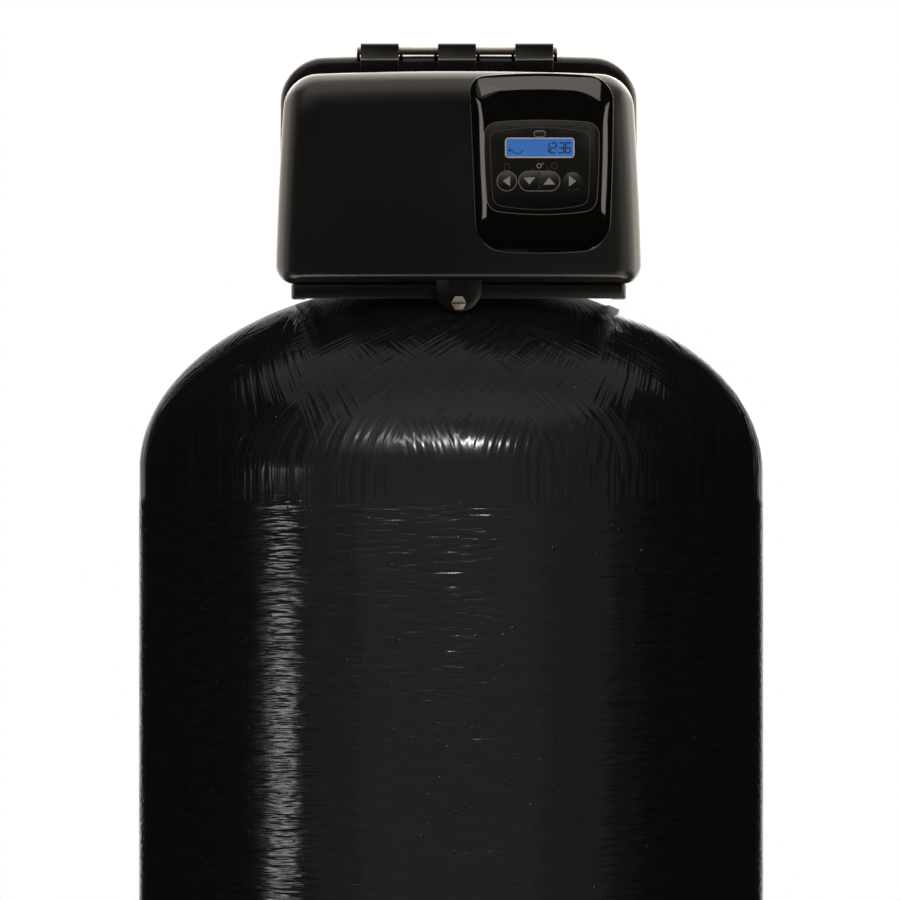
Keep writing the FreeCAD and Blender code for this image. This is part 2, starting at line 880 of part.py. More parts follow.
main_gear = spur(main_teeth, 0, 0, width)
main_gear = main_gear.fuse(disc("cap_bore - shaft_fit", layer(0), "cap_web + 0.3"))
bore = disc("rod_radius + shaft_fit", f"{layer(0)} + gear_width + 1", "cap_web - 1")
holes = []
for turn in range(6):
    hole = disc("0.13*gear_module*main_teeth/2", f"{layer(0)} + gear_width + 1", f"{layer(0)} - 1")
    reach = 0.67 * number("gear_module*main_teeth/2")
    angle = math.tau * turn / 6
    holes.append(hole.translated(FreeCAD.Vector(reach * math.cos(angle), 0, reach * math.sin(angle))))
on_neck(shaped(main_gear.cut([bore] + holes)), "main_drive_gear", z="barrel_height")

second = spur(pinion_teeth, second_phase, 0, number("gear_spacing"))
second = second.fuse(spur(wheel_teeth, wheel_phase, 1, width))
second = second.fuse(disc("hub_radius", layer(0), f"{BRACKET} + 0.3"))
second = second.fuse(disc("hub_radius", f"gear_cover_front - gear_cover_thick - 0.3", layer(1)))
second_bore = disc("post_radius + shaft_fit", "gear_cover_front", BRACKET)
on_neck(shaped(second.cut(second_bore)), "reduction_gear_2", SECOND_X, z=SECOND_Z)

first = spur(pinion_teeth, first_phase, 1, number("gear_spacing"))
first = first.fuse(spur(wheel_teeth, first_phase, 2, width))
first = first.fuse(disc("hub_radius", layer(1), f"{BRACKET} + 0.3"))
first_bore = disc("post_radius + shaft_fit", "gear_cover_front", BRACKET)
on_neck(shaped(first.cut(first_bore)), "reduction_gear_1", FIRST_X, z=FIRST_Z)

MOTOR_SHAFT = "0.9*post_radius"
pinion = spur(pinion_teeth, motor_phase, 2, width)
pinion = pinion.fuse(disc(MOTOR_SHAFT, layer(2), "cap_front - 10"))
on_neck(shaped(pinion), "motor_pinion", MOTOR_X, z=MOTOR_Z)

# Drive motor behind the bracket: can, mounting ears and a bearing boss through the bracket

motor = less(
    fused(
        pin("0", "-cap_front", "0", "motor_radius", "motor_length", "y"),
        pin("0", f"-{BRACKET}", "0", "motor_boss", "bracket_thick + 1", "y"),
        block("-1.6*motor_radius", "1.6*motor_radius", "-cap_front", "1.5 - cap_front", "-5", "5"),
    ),
    pin("0", f"-{BRACKET}", "0", f"{MOTOR_SHAFT} + shaft_fit", "bracket_thick + 11", "y"),
)
on_neck(motor, "drive_motor", MOTOR_X, z=MOTOR_Z)

# Drive bracket: plate on the drive cap's ring, gear posts and board standoffs

BOARD_RIGHT = "(board_right - board_inset)"
BOARD_TOP = "(board_high - board_inset)"
BOARD_POSTS = (
    ("(board_left + board_inset)", BOARD_TOP),
    (BOARD_RIGHT, BOARD_TOP),
    ("(board_left + board_foot)", "(board_low + board_inset)"),
    (BOARD_RIGHT, "(board_low + board_inset)"),
)
COVER_X = ("-bracket_left + 4", "-8")
COVER_Z = ("bracket_low + 4", "bracket_high - 14")
COVER_BACK = "(gear_cover_front - gear_cover_thick)"
SCREW_RING = ((0, 1), (-0.866, -0.5), (0.866, -0.5))
CAP_SCREWS = [(f"{x}*0.75*cap_ring", f"barrel_height + {z}*0.75*cap_ring") for x, z in SCREW_RING]
bracket_plate = plate(
    [
        [
            ("-bracket_left", "bracket_low"),
            ("bracket_right", "bracket_low"),
            ("bracket_right", "bracket_high"),
            ("-bracket_left", "bracket_high"),
        ]
    ],
    BRACKET,
    "cap_front",
    [
        ("0", "barrel_height", "cap_bore + 1"),
        (MOTOR_X, MOTOR_Z, "motor_boss + shaft_fit"),
        *[(x, z, "screw_radius") for x, z in CAP_SCREWS],
    ],
)
round_edges(bracket_plate, "6", FreeCAD.Vector(0, 1, 0))
GEAR_POSTS = ((SECOND_X, SECOND_Z), (FIRST_X, FIRST_Z))
POST_LONG = f"gear_cover_front - {BRACKET}"
COVER_POSTS = [(COVER_X[0], COVER_Z[1]), (COVER_X[1], COVER_Z[1]), (COVER_X[0], COVER_Z[0])]
bracket = fused(
    bracket_plate,
    *[pin(x, "-gear_cover_front", z, "post_radius", POST_LONG, "y") for x, z in GEAR_POSTS],
    *[pin(x, f"-{COVER_BACK}", z, "3", f"{COVER_BACK} - {BRACKET}", "y") for x, z in COVER_POSTS],
    *[
        pin(f"head_shift + {x}", "-board_back", z, "board_post", f"board_back - {BRACKET}", "y")
        for x, z in BOARD_POSTS
    ],
)
on_neck(bracket, "drive_bracket")

gear_cover = plate(
    [
        [
            ("-bracket_left", "bracket_low"),
            ("-bracket_left*0.45", "bracket_low"),
            ("0", "bracket_high*0.7"),
            ("0", "bracket_high - 10"),
            ("-bracket_left", "bracket_high - 10"),
        ]
    ],
    "gear_cover_front",
    COVER_BACK,
    [(x, z, "post_radius + shaft_fit") for x, z in GEAR_POSTS],
)
on_neck(gear_cover, "gear_cover")


def screw(x, y, z, length):
    """A pan-head screw whose head faces forward."""
    head = pin(x, f"-({y}) - 1.4", z, "screw_head", "1.4", "y")
    shank = pin(x, f"-({y})", z, "screw_radius - 0.05", length, "y")
    return fused(head, shank)


bracket_screws = fused(*[screw(x, BRACKET, z, "bracket_thick") for x, z in CAP_SCREWS])
on_neck(bracket_screws, "bracket_screws")
cover_screws = fused(
    *[
        less(
            pin(x, "-gear_cover_front - 1.4", z, "screw_head", "1.4", "y"),
            block(f"{x} - 2.2", f"{x} + 2.2", "-gear_cover_front - 2", "-gear_cover_front - 0.9",
                  f"{z} - 0.4", f"{z} + 0.4"),
        )
        for x, z in COVER_POSTS
    ]
)
on_neck(cover_screws, "gear_cover_screws")
VALVE_SCREWS = [
    fused(
        pin(x, y, "plate_height", "1.6*screw_head", "2.5"),
        pin(x, y, "-cover_low", "screw_radius + 0.9", "cover_low + plate_height"),
    )
    for x in PLATE_X
    for y in PLATE_Y
]
on_neck(fused(*VALVE_SCREWS), "valve_screws")

# Circuit board with four press switches, and the display module in front of it

BUTTONS = (
    ("button_back", "button_left_x"),
    ("button_down", "button_pair_x - 0.5*button_pair_half"),
    ("button_up", "button_pair_x + 0.5*button_pair_half"),
    ("button_next", "button_right_x"),
)
BOARD_FRONT = "(board_back + board_thick)"
board_plate = plate(
    [
        [
            ("board_left", "board_low"),
            ("board_right", "board_low"),
            ("board_right", "board_high"),
            ("board_left", "board_high"),
        ]
    ],
    BOARD_FRONT,
    "board_back",
)
SWITCHES = [
    block(f"{x} - switch_side/2", f"{x} + switch_side/2", f"-{BOARD_FRONT} - switch_height",
          f"-{BOARD_FRONT}", "button_z - switch_side/2", "button_z + switch_side/2")
    for _, x in BUTTONS
]
TERMINALS = block("board_left + 4", "board_left + 26", f"-{BOARD_FRONT} - 8", f"-{BOARD_FRONT}",
                  "board_low + 12", "board_low + 20")
CHIP = block("board_right - 20", "board_right - 8", f"-{BOARD_FRONT} - 2", f"-{BOARD_FRONT}",
             "board_high - 36", "board_high - 22")
on_head(fused(board_plate, TERMINALS, CHIP, *SWITCHES), "circuit_board")
BOARD_SCREWS = [pin(x, f"-{BOARD_FRONT} - 1.4", z, "screw_head", "1.4", "y")
                for x, z in BOARD_POSTS]
on_head(fused(*BOARD_SCREWS), "board_screws")
DISPLAY = ("display_centre_x - display_width/2", "display_centre_x + display_width/2")
DISPLAY_Z = ("display_centre_z - display_high/2", "display_centre_z + display_high/2")
MODULE_FRONT = "(window_back - display_gap)"
display = less(
    block(*DISPLAY, f"-{MODULE_FRONT}", f"-{BOARD_FRONT}", *DISPLAY_Z),
    block(
        "display_centre_x - window_half_x - 1",
        "display_centre_x + window_half_x + 1",
        f"-{MODULE_FRONT}",
        f"-{MODULE_FRONT} + 0.8",
        "display_centre_z - window_half_z - 1",
        "display_centre_z + window_half_z + 1",
    ),
)
on_head(display, "display_module")

# Injector cap on the side, drain elbow, its clip and the flow washer under it

injector_cap = fused(
    pin("injector_end", "-injector_y", "barrel_height", "injector_cap_radius",
        "injector_cap_thick", "x"),
    block("injector_end", "injector_end + 0.6*injector_cap_thick", "-injector_y - 4",
          "4 - injector_y", "barrel_height - 1.5*injector_cap_radius",
          "barrel_height + 1.5*injector_cap_radius"),
)
on_neck(injector_cap, "injector_cap")
DRAIN_HEIGHT = "(drain_top + drain_rise)"
BARBS = [
    pin("0", f"drain_end - {6 + 8 * step}", DRAIN_HEIGHT, "drain_barb", "3", "y")
    for step in range(3)
]
elbow = less(
    fused(
        pin("0", "drain_y", "drain_top", "drain_boss - 1.5", "drain_rise + 11"),
        pin("0", "drain_y", DRAIN_HEIGHT, "drain_tail", "drain_end - drain_y", "y"),
        pin("0", "drain_y", DRAIN_HEIGHT, "drain_rise - 0.5", "22", "y"),
        *BARBS,
    ),
    pin("0", "drain_y", DRAIN_HEIGHT, "drain_hole", "drain_end - drain_y", "y"),
    pin("0", "drain_y", "drain_top", "drain_hole", "drain_rise"),
)
on_neck(elbow, "drain_elbow")
CLIP_OUT = "(drain_boss + 2.5)"
clip = less(
    block(f"-{CLIP_OUT}", CLIP_OUT, f"drain_y - {CLIP_OUT}", f"drain_y + {CLIP_OUT}",
          "drain_top - 4", "drain_top + 3"),
    pin("0", "drain_y", "drain_top - 5", "drain_boss + 0.3", "9"),
    block("-0.75*drain_boss", "0.75*drain_boss", "drain_y", f"drain_y + {CLIP_OUT} + 1",
          "drain_top - 5", "drain_top + 4"),
)
on_neck(clip, "drain_clip")
washer = lathe(
    [
        ("0.35*drain_bore", "drain_top - 5"),
        ("drain_bore", "drain_top - 5"),
        ("drain_bore", "drain_top"),
        ("0.5*drain_bore", "drain_top"),
    ]
)
on_neck(washer, "flow_washer", y="drain_y")

# Union nuts, washers and pipe sockets at the two ports

WASHER_END = "(port_end + washer_thick)"
COLLAR_END = f"({WASHER_END} + collar_thick)"
NUT_FRONT = f"({COLLAR_END} + nut_wall_back - nut_length)"
for side, x in (("inlet", "-port_shift"), ("outlet", "port_shift")):
    ring = lathe(
        [("port_bore", "port_end"), ("port_radius - 1", "port_end"),
         ("port_radius - 1", WASHER_END), ("port_bore", WASHER_END)],
        "y",
    )
    on_neck(ring, f"{side}_washer", x, z="port_height")
    fitting = lathe(
        [
            ("port_bore", WASHER_END),
            ("port_radius - 0.4", WASHER_END),
            ("port_radius - 0.4", COLLAR_END),
            ("tail_radius", COLLAR_END),
            ("tail_radius", "socket_end - 1.3*socket_depth"),
            ("socket_radius", "socket_end - 1.15*socket_depth"),
            ("socket_radius", "socket_end"),
            ("socket_bore", "socket_end"),
            ("socket_bore", "socket_end - socket_depth"),
            ("port_bore", "socket_end - socket_depth"),
        ],
        "y",
    )
    on_neck(fitting, f"{side}_fitting", x, z="port_height")
    nut = lathe(
        [
            ("port_radius + 0.3", NUT_FRONT),
            ("nut_radius - 1.5", NUT_FRONT),
            ("nut_radius", f"{NUT_FRONT} + 1.5"),
            ("nut_radius", f"{COLLAR_END} + nut_wall_back - 1.5"),
            ("nut_radius - 1.5", f"{COLLAR_END} + nut_wall_back"),
            ("tail_radius + 0.3", f"{COLLAR_END} + nut_wall_back"),
            ("tail_radius + 0.3", COLLAR_END),
            ("port_radius + 0.3", COLLAR_END),
        ],
        "y",
    )
    doc.recompute()
    grip_sketch = new_sketch(nut, "XZ_Plane", f"-({NUT_FRONT})")
    draw_circle(grip_sketch, "nut_radius + 2.5", "0", "4.5")
    grip = nut.newObject("PartDesign::Pocket", "Grip")
    grip.Profile = (grip_sketch, [""])
    grip.setExpression("Length", linked("nut_length"))
    grips = nut.newObject("PartDesign::PolarPattern", "Grips")
    grips.Originals = [grip]
    grips.Axis = (grip_sketch, ["N_Axis"])
    grips.Angle = 360
    grips.setExpression("Occurrences", "Sizes.nut_grips")
    nut.Tip = grips
    on_neck(nut, f"{side}_nut", x, z="port_height")

# Moulded covers: outlines with rounded corners, lofted over the rounded edge


def cover_outline(y, half_low, half_high, low, high, round_low, round_high, crown):
    """A cover's outline at one depth: straight sides, rounded corners and a crowned top."""
    spots = [(-half_low, low), (half_low, low), (half_high, high), (-half_high, high)]
    spots = [FreeCAD.Vector(x, y, z) for x, z in spots]
    rounds = (round_low, round_low, round_high, round_high)
    ends = []
    for index, spot in enumerate(spots):
        back = (spots[index - 1] - spot).normalize()
        ahead = (spots[(index + 1) % 4] - spot).normalize()
        opening = back.getAngle(ahead)
        reach = rounds[index] / math.tan(opening / 2)
        inward = (back + ahead).normalize() * (rounds[index] / math.sin(opening / 2))
        middle = spot + inward - inward.normalize() * rounds[index]
        ends.append((spot + back * reach, middle, spot + ahead * reach))
    edges = []
    for index, (start, middle, end) in enumerate(ends):
        edges.append(Part.Arc(start, middle, end).toShape())
        following = ends[(index + 1) % 4][0]
        if index == 2 and crown:
            top = FreeCAD.Vector(0, y, high + crown)
            edges.append(Part.Arc(end, top, following).toShape())
        else:
            edges.append(Part.LineSegment(end, following).toShape())
    return Part.Wire(edges)


EDGE_STEPS = 5


def cover_solid(sizes, near, far, edge, depth, wall):
    """A cover as a full block, or its hollow where wall is more than 0.

    near is the open end's y, far is the closed face's y, and edge holds how far the side, top
    and bottom draw in over the rounded edge's depth.
    """
    half_low, half_high, low, high, round_low, round_high, crown = sizes
    sign = 1 if far > near else -1
    side, top, bottom = edge
    corner_least = number("edge_least")

    def section(y, share):
        across = wall + share * side
        return cover_outline(
            y,
            half_low - across,
            half_high - across,
            low + wall + share * bottom,
            high - wall - share * top,
            max(round_low - wall - share * round_low, corner_least),
            max(round_high - wall - share * 0.6 * round_high, corner_least),
            crown,
        )

    face = far - sign * wall
    bend = far - sign * max(depth, wall + 1)
    wires = []
    for step in range(EDGE_STEPS + 1):
        angle = math.pi / 2 * step / EDGE_STEPS
        wires.append(section(bend + (face - bend) * math.sin(angle), 1 - math.cos(angle)))
    start = section(near, 0)
    straight = Part.Face(start).extrude(FreeCAD.Vector(0, bend - near, 0))
    return straight.fuse(Part.makeLoft(wires, True, True)).removeSplitter()


def cover_sizes(prefix, low):
    """The outline sizes of one cover, read from the sheet."""
    names = ("half_low", "half_high")
    rounds = ("round_low", "round_high")
    halves = [number(f"{prefix}_{name}") for name in names]
    corners = [number(f"{prefix}_{name}") for name in rounds]
    crown = number("cover_crown") if prefix == "cover" else 0
    return (*halves, number(low), number(f"{prefix}_high") - crown, *corners, crown)


WALL = number("cover_wall")
FRONT_LOW = "(cover_gap - cover_low)"
front_sizes = cover_sizes("cover", FRONT_LOW)
front_edge = [number(f"edge_{name}") for name in ("side", "top", "bottom")]
split = -number("cover_split")
front_face = -number("cover_front")
front_block = cover_solid(front_sizes, split, front_face, front_edge, number("edge_depth"), 0)
front_space = cover_solid(
    front_sizes, split + 1, front_face, front_edge, number("edge_depth"), WALL
)
front_shell = shaped(front_block.cut(front_space))

CLIPS = [f"(hinge_shift + {index}*clip_pitch)" for index in (-1, 0, 1)]
CLIP_OUTER = "(hinge_radius + hinge_fit + clip_wall)"
clip_blocks = []
clip_bores = []
for x in CLIPS:
    left = f"{x} - clip_width/2"
    clip_blocks.append(
        block(left, f"{x} + clip_width/2", "-clip_front", "-cover_split - 1",
              "cover_high - cover_wall", "hinge_high")
    )
    clip_blocks.append(pin(left, "-hinge_back", "hinge_high", CLIP_OUTER, "clip_width", "x"))
    clip_bores.append(
        pin(f"{left} - 1", "-hinge_back", "hinge_high", "hinge_radius + hinge_fit",
            "clip_width + 2", "x")
    )
    clip_bores.append(
        block(f"{left} - 1", f"{x} + clip_width/2 + 1", "-clip_front - 1", "0.5 - clip_front",
              "cover_high + 6", "hinge_high + 1")
    )
EAR_BACK = "(ear_front - ear_thick)"
ear = less(
    fused(
        block("-ear_half", "ear_half", "-ear_front", f"-{EAR_BACK}", "ear_half - ear_low",
              "-cover_low + cover_wall"),
        pin("0", "-ear_front", "ear_half - ear_low", "ear_half", "ear_thick", "y"),
    ),
    pin("0", "-ear_front - 1", "-ear_hole", "cover_screw_radius + cover_screw_fit",
        "ear_thick + 2", "y"),
)
console_opening = block("console_centre - console_half - 3", "console_centre + console_half + 3",
                        "-cover_front - 1", "-cover_front + cover_wall + 1", "console_low - 2",
                        "console_high + 2")
front_cover = less(fused(front_shell, ear, *clip_blocks), console_opening, *clip_bores)
on_head(front_cover, "front_cover")

rear_sizes = cover_sizes("rear", "-cover_low")
rear_edge = [number("rear_edge")] * 3
rear_split = split + number("cover_gap")
rear_back = number("rear_depth")
rear_block = cover_solid(rear_sizes, rear_split, rear_back, rear_edge, number("rear_edge"), 0)
rim = cover_solid(rear_sizes, rear_split + WALL, rear_back, rear_edge, number("rear_edge"), WALL)
rear_shell = shaped(rear_block.cut(rim))
HINGE_END = "(clip_pitch + clip_width/2 + clip_gap + rib_width)"
rear_open = block("rim_width - cover_half_high", "cover_half_high - rim_width", "-cover_split - 1",
                  "-cover_split + 3*cover_wall", "-cover_low - 1", "cover_high - rim_width")
floor_open = block("-rear_opening", "rear_opening", "-cover_split - 1",
                   "rear_depth - rim_width", "-cover_low - 1", "2*cover_wall - cover_low")
port_holes = [
    pin(f"{x} - head_shift", "rear_depth - 3*rear_edge", "port_height", "nut_radius + port_clearance",
        "4*rear_edge", "y")
    for x in PORTS
]
drain_gap = pin("-head_shift", "rear_depth - 3*rear_edge", DRAIN_HEIGHT, "drain_barb + port_clearance",
                "4*rear_edge", "y")
ribs = []
rib_bores = []
for x in CLIPS:
    for offset in ("-clip_width/2 - clip_gap - rib_width", "clip_width/2 + clip_gap"):
        ribs.append(pin(f"{x} + {offset}", "-hinge_back", "hinge_high",
                        "hinge_radius + rib_wall", "rib_width", "x"))
        ribs.append(block(f"{x} + {offset}", f"{x} + {offset} + rib_width",
                          "cover_gap - cover_split", "-cover_split + 9",
                          "rear_high - cover_wall", "hinge_high"))
rod_gap = pin(f"hinge_shift - {HINGE_END} - 1", "-hinge_back", "hinge_high",
              "hinge_radius + rib_fit", f"2*({HINGE_END} + 1)", "x")
notches = [
    block(f"{x} - clip_width/2 - clip_gap", f"{x} + clip_width/2 + clip_gap", "-cover_split - 1",
          f"{CLIP_OUTER} + 0.8 - hinge_back", "rear_high - notch_depth", "rear_high + 1")
    for x in CLIPS
]
rear_cover = less(
    fused(less(rear_shell, rear_open, floor_open, drain_gap, *port_holes, *notches), *ribs),
    rod_gap,
)
on_head(rear_cover, "rear_cover")

# Tray under the covers: front rail with the screw's lug, side bars, web and valve bosses

TRAY_LOW = "(-cover_low - tray_drop)"
tray_boss_pins = [pin(f"{x} - head_shift", y, "-cover_low - tray_web", "tray_boss", "cover_low + tray_web")
                  for x in PLATE_X for y in PLATE_Y]
tray = less(
    fused(
        less(
            block("-tray_half", "tray_half", "-cover_split + 2", "tray_back",
                  "-cover_low - tray_web", "-cover_low"),
            pin("-head_shift", "0", "-cover_low - 5", "tray_hole", "10"),
        ),
        less(
            block("-tray_half", "tray_half", "-tray_front", "tray_back", TRAY_LOW, "-cover_low"),
            block("tray_bar - tray_half", "tray_half - tray_bar", "tray_rail - tray_front",
                  "tray_back + 1", f"{TRAY_LOW} - 1", "1 - cover_low"),
        ),
        block("-lug_half", "lug_half", "-tray_front", "lug_thick - tray_front", "-lug_low",
              "-cover_low"),
        *tray_boss_pins,
    ),
    block("-cover_screw_radius - cover_screw_fit", "cover_screw_radius + cover_screw_fit",
          "-tray_front - 1", "lug_thick - tray_front + 1",
          "-ear_hole - cover_screw_radius - cover_screw_fit", "lug_slot_rise - ear_hole"),
    *[pin(f"{x} - head_shift", y, "-cover_low - tray_web - 1", "screw_radius + 1", "cover_low + tray_web + 2")
      for x in PLATE_X for y in PLATE_Y],
)
on_head(tray, "head_tray")

ROD_START = f"hinge_shift - {HINGE_END}"
hinge_rod = pin("0", "0", "0", "hinge_radius", f"2*{HINGE_END}", "x")
on_head(hinge_rod, "hinge_rod", ROD_START, "-hinge_back", "hinge_high")

# Captive hex screw in the front cover's ear

HEX = "(cover_screw_flats/sqrt(3))"
hex_corners = [(f"{math.cos(math.radians(60 * k)):.6f}*{HEX}",
                f"{math.sin(math.radians(60 * k)):.6f}*{HEX}") for k in range(6)]
hex_head = plate([hex_corners], "ear_front + cover_screw_head", "ear_front")
cover_screw = less(
    fused(
        hex_head,
        pin("0", "-ear_front", "0", "cover_screw_radius", "ear_front - cover_screw_tip", "y"),
    ),
    block("-cover_screw_flats", "cover_screw_flats", "-ear_front - cover_screw_head - 1",
          "-ear_front - 0.6*cover_screw_head", "-0.5", "0.5"),
)
on_head(cover_screw, "cover_screw", z="-ear_hole")

# Console: a glossy bezel shaped like a shield, with a recessed panel, windows and buttons

BEZEL_FRONT = "(cover_front + bezel_proud)"
RECESS = f"({BEZEL_FRONT} - recess_depth)"
PANEL_FRONT = f"({RECESS} + panel_thick)"
CONSOLE_L = "(console_centre - console_half)"
CONSOLE_R = "(console_centre + console_half)"


def rounded_window(x, z, half_x, half_z):
    """An upright window's outline with cut corners."""
    corner = "0.8"
    return [
        (f"{x} - {half_x} + {corner}", f"{z} - {half_z}"),
        (f"{x} + {half_x} - {corner}", f"{z} - {half_z}"),
        (f"{x} + {half_x}", f"{z} - {half_z} + {corner}"),
        (f"{x} + {half_x}", f"{z} + {half_z} - {corner}"),
        (f"{x} + {half_x} - {corner}", f"{z} + {half_z}"),
        (f"{x} - {half_x} + {corner}", f"{z} + {half_z}"),
        (f"{x} - {half_x}", f"{z} + {half_z} - {corner}"),
        (f"{x} - {half_x}", f"{z} - {half_z} + {corner}"),
    ]


def shield(left, right, low, high, waist, taper, corner):
    """A console outline: crowned top and bottom, corners cut, narrowing below its waist."""
    middle = f"({left} + {right})/2"
    return [
        (f"{left} + {taper} + {corner}", f"{low} + 0.4*({corner})"),
        (middle, low),
        (f"{right} - {taper} - {corner}", f"{low} + 0.4*({corner})"),
        (f"{right} - {taper}", f"{low} + 1.4*({corner})"),
        (right, waist),
        (right, f"{high} - 1.4*({corner})"),
        (f"{right} - {corner}", f"{high} - 0.4*({corner})"),
        (middle, high),
        (f"{left} + {corner}", f"{high} - 0.4*({corner})"),
        (left, f"{high} - 1.4*({corner})"),
        (left, waist),
        (f"{left} + {taper}", f"{low} + 1.4*({corner})"),
    ]


WINDOW = ("display_centre_x", "display_centre_z", "window_half_x", "window_half_z")
PILL = ("display_centre_x", "pill_z", "pill_half_x", "pill_half_z")


def opening(window, clearance):
    """A window's outline, widened by a clearance."""
    x, z, half_x, half_z = window
    return rounded_window(x, z, f"({half_x} + {clearance})", f"({half_z} + {clearance})")


PAIR_L = "(button_pair_x - button_pair_half)"
PAIR_R = "(button_pair_x + button_pair_half)"


def console_holes(clearance, front, back):
    """Tools that cut the windows and the buttons' holes through the console, with a clearance."""
    radius = f"button_radius + {clearance}"
    length = f"{front} - ({back})"
    tools = [
        plate([opening(WINDOW, clearance)], front, back),
        plate([opening(PILL, clearance)], front, back),
        pin("button_left_x", f"-({front})", "button_z", radius, length, "y"),
        pin("button_right_x", f"-({front})", "button_z", radius, length, "y"),
        pin(f"{PAIR_L} + button_radius", f"-({front})", "button_z", radius, length, "y"),
        pin(f"{PAIR_R} - button_radius", f"-({front})", "button_z", radius, length, "y"),
        block(f"{PAIR_L} + button_radius", f"{PAIR_R} - button_radius", f"-({front})",
              f"-({back})", f"button_z - ({radius})", f"button_z + {radius}"),
    ]
    return tools


bezel_outline = shield("bezel_left", "bezel_right", "bezel_low", "bezel_high", "bezel_waist",
                       "bezel_taper", "8")
recess_outline = shield(CONSOLE_L, CONSOLE_R, "console_low", "console_high",
                        "(console_low + 14)", "console_taper", "5")
panel_outline = shield(f"({CONSOLE_L} + panel_edge)", f"({CONSOLE_R} - panel_edge)",
                       "(console_low + panel_edge)", "(console_high - panel_edge)",
                       "(console_low + 14)", "console_taper", "5")
bezel_front_outline = shield("(bezel_left + bezel_slope)", "(bezel_right - bezel_slope)",
                             "(bezel_low + 0.5*bezel_slope)", "(bezel_high - bezel_slope)",
                             "bezel_waist", "bezel_taper", "6")


def outline_wire(corners, distance):
    """An outline as a closed wire, at a distance in front of the neck's axis."""
    y = -number(distance)
    spots = [FreeCAD.Vector(number(x), y, number(z)) for x, z in corners]
    return Part.makePolygon(spots + spots[:1])


bezel_block = shaped(Part.makeLoft(
    [
        outline_wire(bezel_outline, "cover_front"),
        outline_wire(bezel_outline, "cover_front + bezel_rim"),
        outline_wire(bezel_front_outline, BEZEL_FRONT),
    ],
    True,
    True,
))
bezel = less(
    bezel_block,
    plate([recess_outline], f"{BEZEL_FRONT} + 1", RECESS),
    *console_holes("button_fit", f"{BEZEL_FRONT} + 1", "cover_front - 1"),
)
on_head(bezel, "console_bezel")
panel = less(
    plate([panel_outline], PANEL_FRONT, RECESS),
    *console_holes("button_fit", f"{PANEL_FRONT} + 1", f"{RECESS} - 1"),
)
on_head(panel, "console_panel")
LENS_BACK = "(cover_front - 0.8)"
on_head(plate([opening(WINDOW, "0")], PANEL_FRONT, LENS_BACK), "display_lens")
on_head(plate([opening(PILL, "0")], PANEL_FRONT, LENS_BACK), "indicator_window")

# Buttons: caps flush with the panel, a lip behind the bezel and a stem down to the switch

CAP_FRONT = f"({PANEL_FRONT} + button_proud)"
LIP_FRONT = "(cover_front - button_fit)"
LIP_BACK = f"({LIP_FRONT} - button_flange)"
STEM_BACK = f"({BOARD_FRONT} + switch_height + button_travel + button_fit)"


def button_round():
    """A round button about its own axis."""
    return lathe(
        [
            ("0", f"-{CAP_FRONT}"),
            ("button_radius - 0.5", f"-{CAP_FRONT}"),
            ("button_radius", f"-{CAP_FRONT} + 0.4"),
            ("button_radius", f"-{LIP_FRONT}"),
            ("button_radius + button_lip", f"-{LIP_FRONT}"),
            ("button_radius + button_lip", f"-{LIP_BACK}"),
            ("button_stem", f"-{LIP_BACK}"),
            ("button_stem", f"-{STEM_BACK}"),
            ("0", f"-{STEM_BACK}"),
        ],
        "y",
    )


def button_half(sign):
    """One half of the paired button: a flat side at the pair's middle, a round end outside."""
    inner = "button_pair_gap/2"
    outer = "button_pair_half - button_radius"
    low, high = (inner, outer) if sign > 0 else (f"-({outer})", f"-({inner})")
    centre = f"{sign}*(button_pair_half - button_radius)"
    middle = f"{sign}*0.5*button_pair_half"
    cap_long = f"{CAP_FRONT} - {LIP_FRONT}"
    lip_long = f"{LIP_FRONT} - {LIP_BACK}"
    return fused(
        block(low, high, f"-{CAP_FRONT}", f"-{LIP_FRONT}", "-button_radius", "button_radius"),
        pin(centre, f"-{CAP_FRONT}", "0", "button_radius", cap_long, "y"),
        block(low, high, f"-{LIP_FRONT}", f"-{LIP_BACK}", "-button_radius - button_lip",
              "button_radius + button_lip"),
        pin(centre, f"-{LIP_FRONT}", "0", "button_radius + 0.5*button_lip", lip_long, "y"),
        pin(middle, f"-{LIP_FRONT}", "0", "button_stem", f"{LIP_FRONT} - {STEM_BACK}", "y"),
    )


for label, x in (("button_back", "button_left_x"), ("button_next", "button_right_x")):
    on_head(button_round(), label, x, z="button_z")
for label, sign in (("button_down", -1), ("button_up", 1)):
    on_head(button_half(sign), label, "button_pair_x", z="button_z")

# Every object must be sound before anything is written

doc.recompute()
for thing in doc.Objects:
    for state in ("Invalid", "Error"):
        if state in thing.State:
            raise RuntimeError(f"{thing.Label} is {state}")
os.makedirs("parts", exist_ok=True)
for thing in nodes:
    shape = thing.Shape
    if shape.isNull() or not shape.isValid() or not shape.Solids:
        raise RuntimeError(f"{thing.Label} has no sound solid")
    shape.exportStep(f"parts/{thing.Label}.step")
    print(f"{thing.Label}: {len(shape.Solids)} solid(s), {shape.Volume / 1000:.2f} cm3")
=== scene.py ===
import json
import math
import bmesh
import bpy
from mathutils import Matrix, Vector
from mathutils.kdtree import KDTree

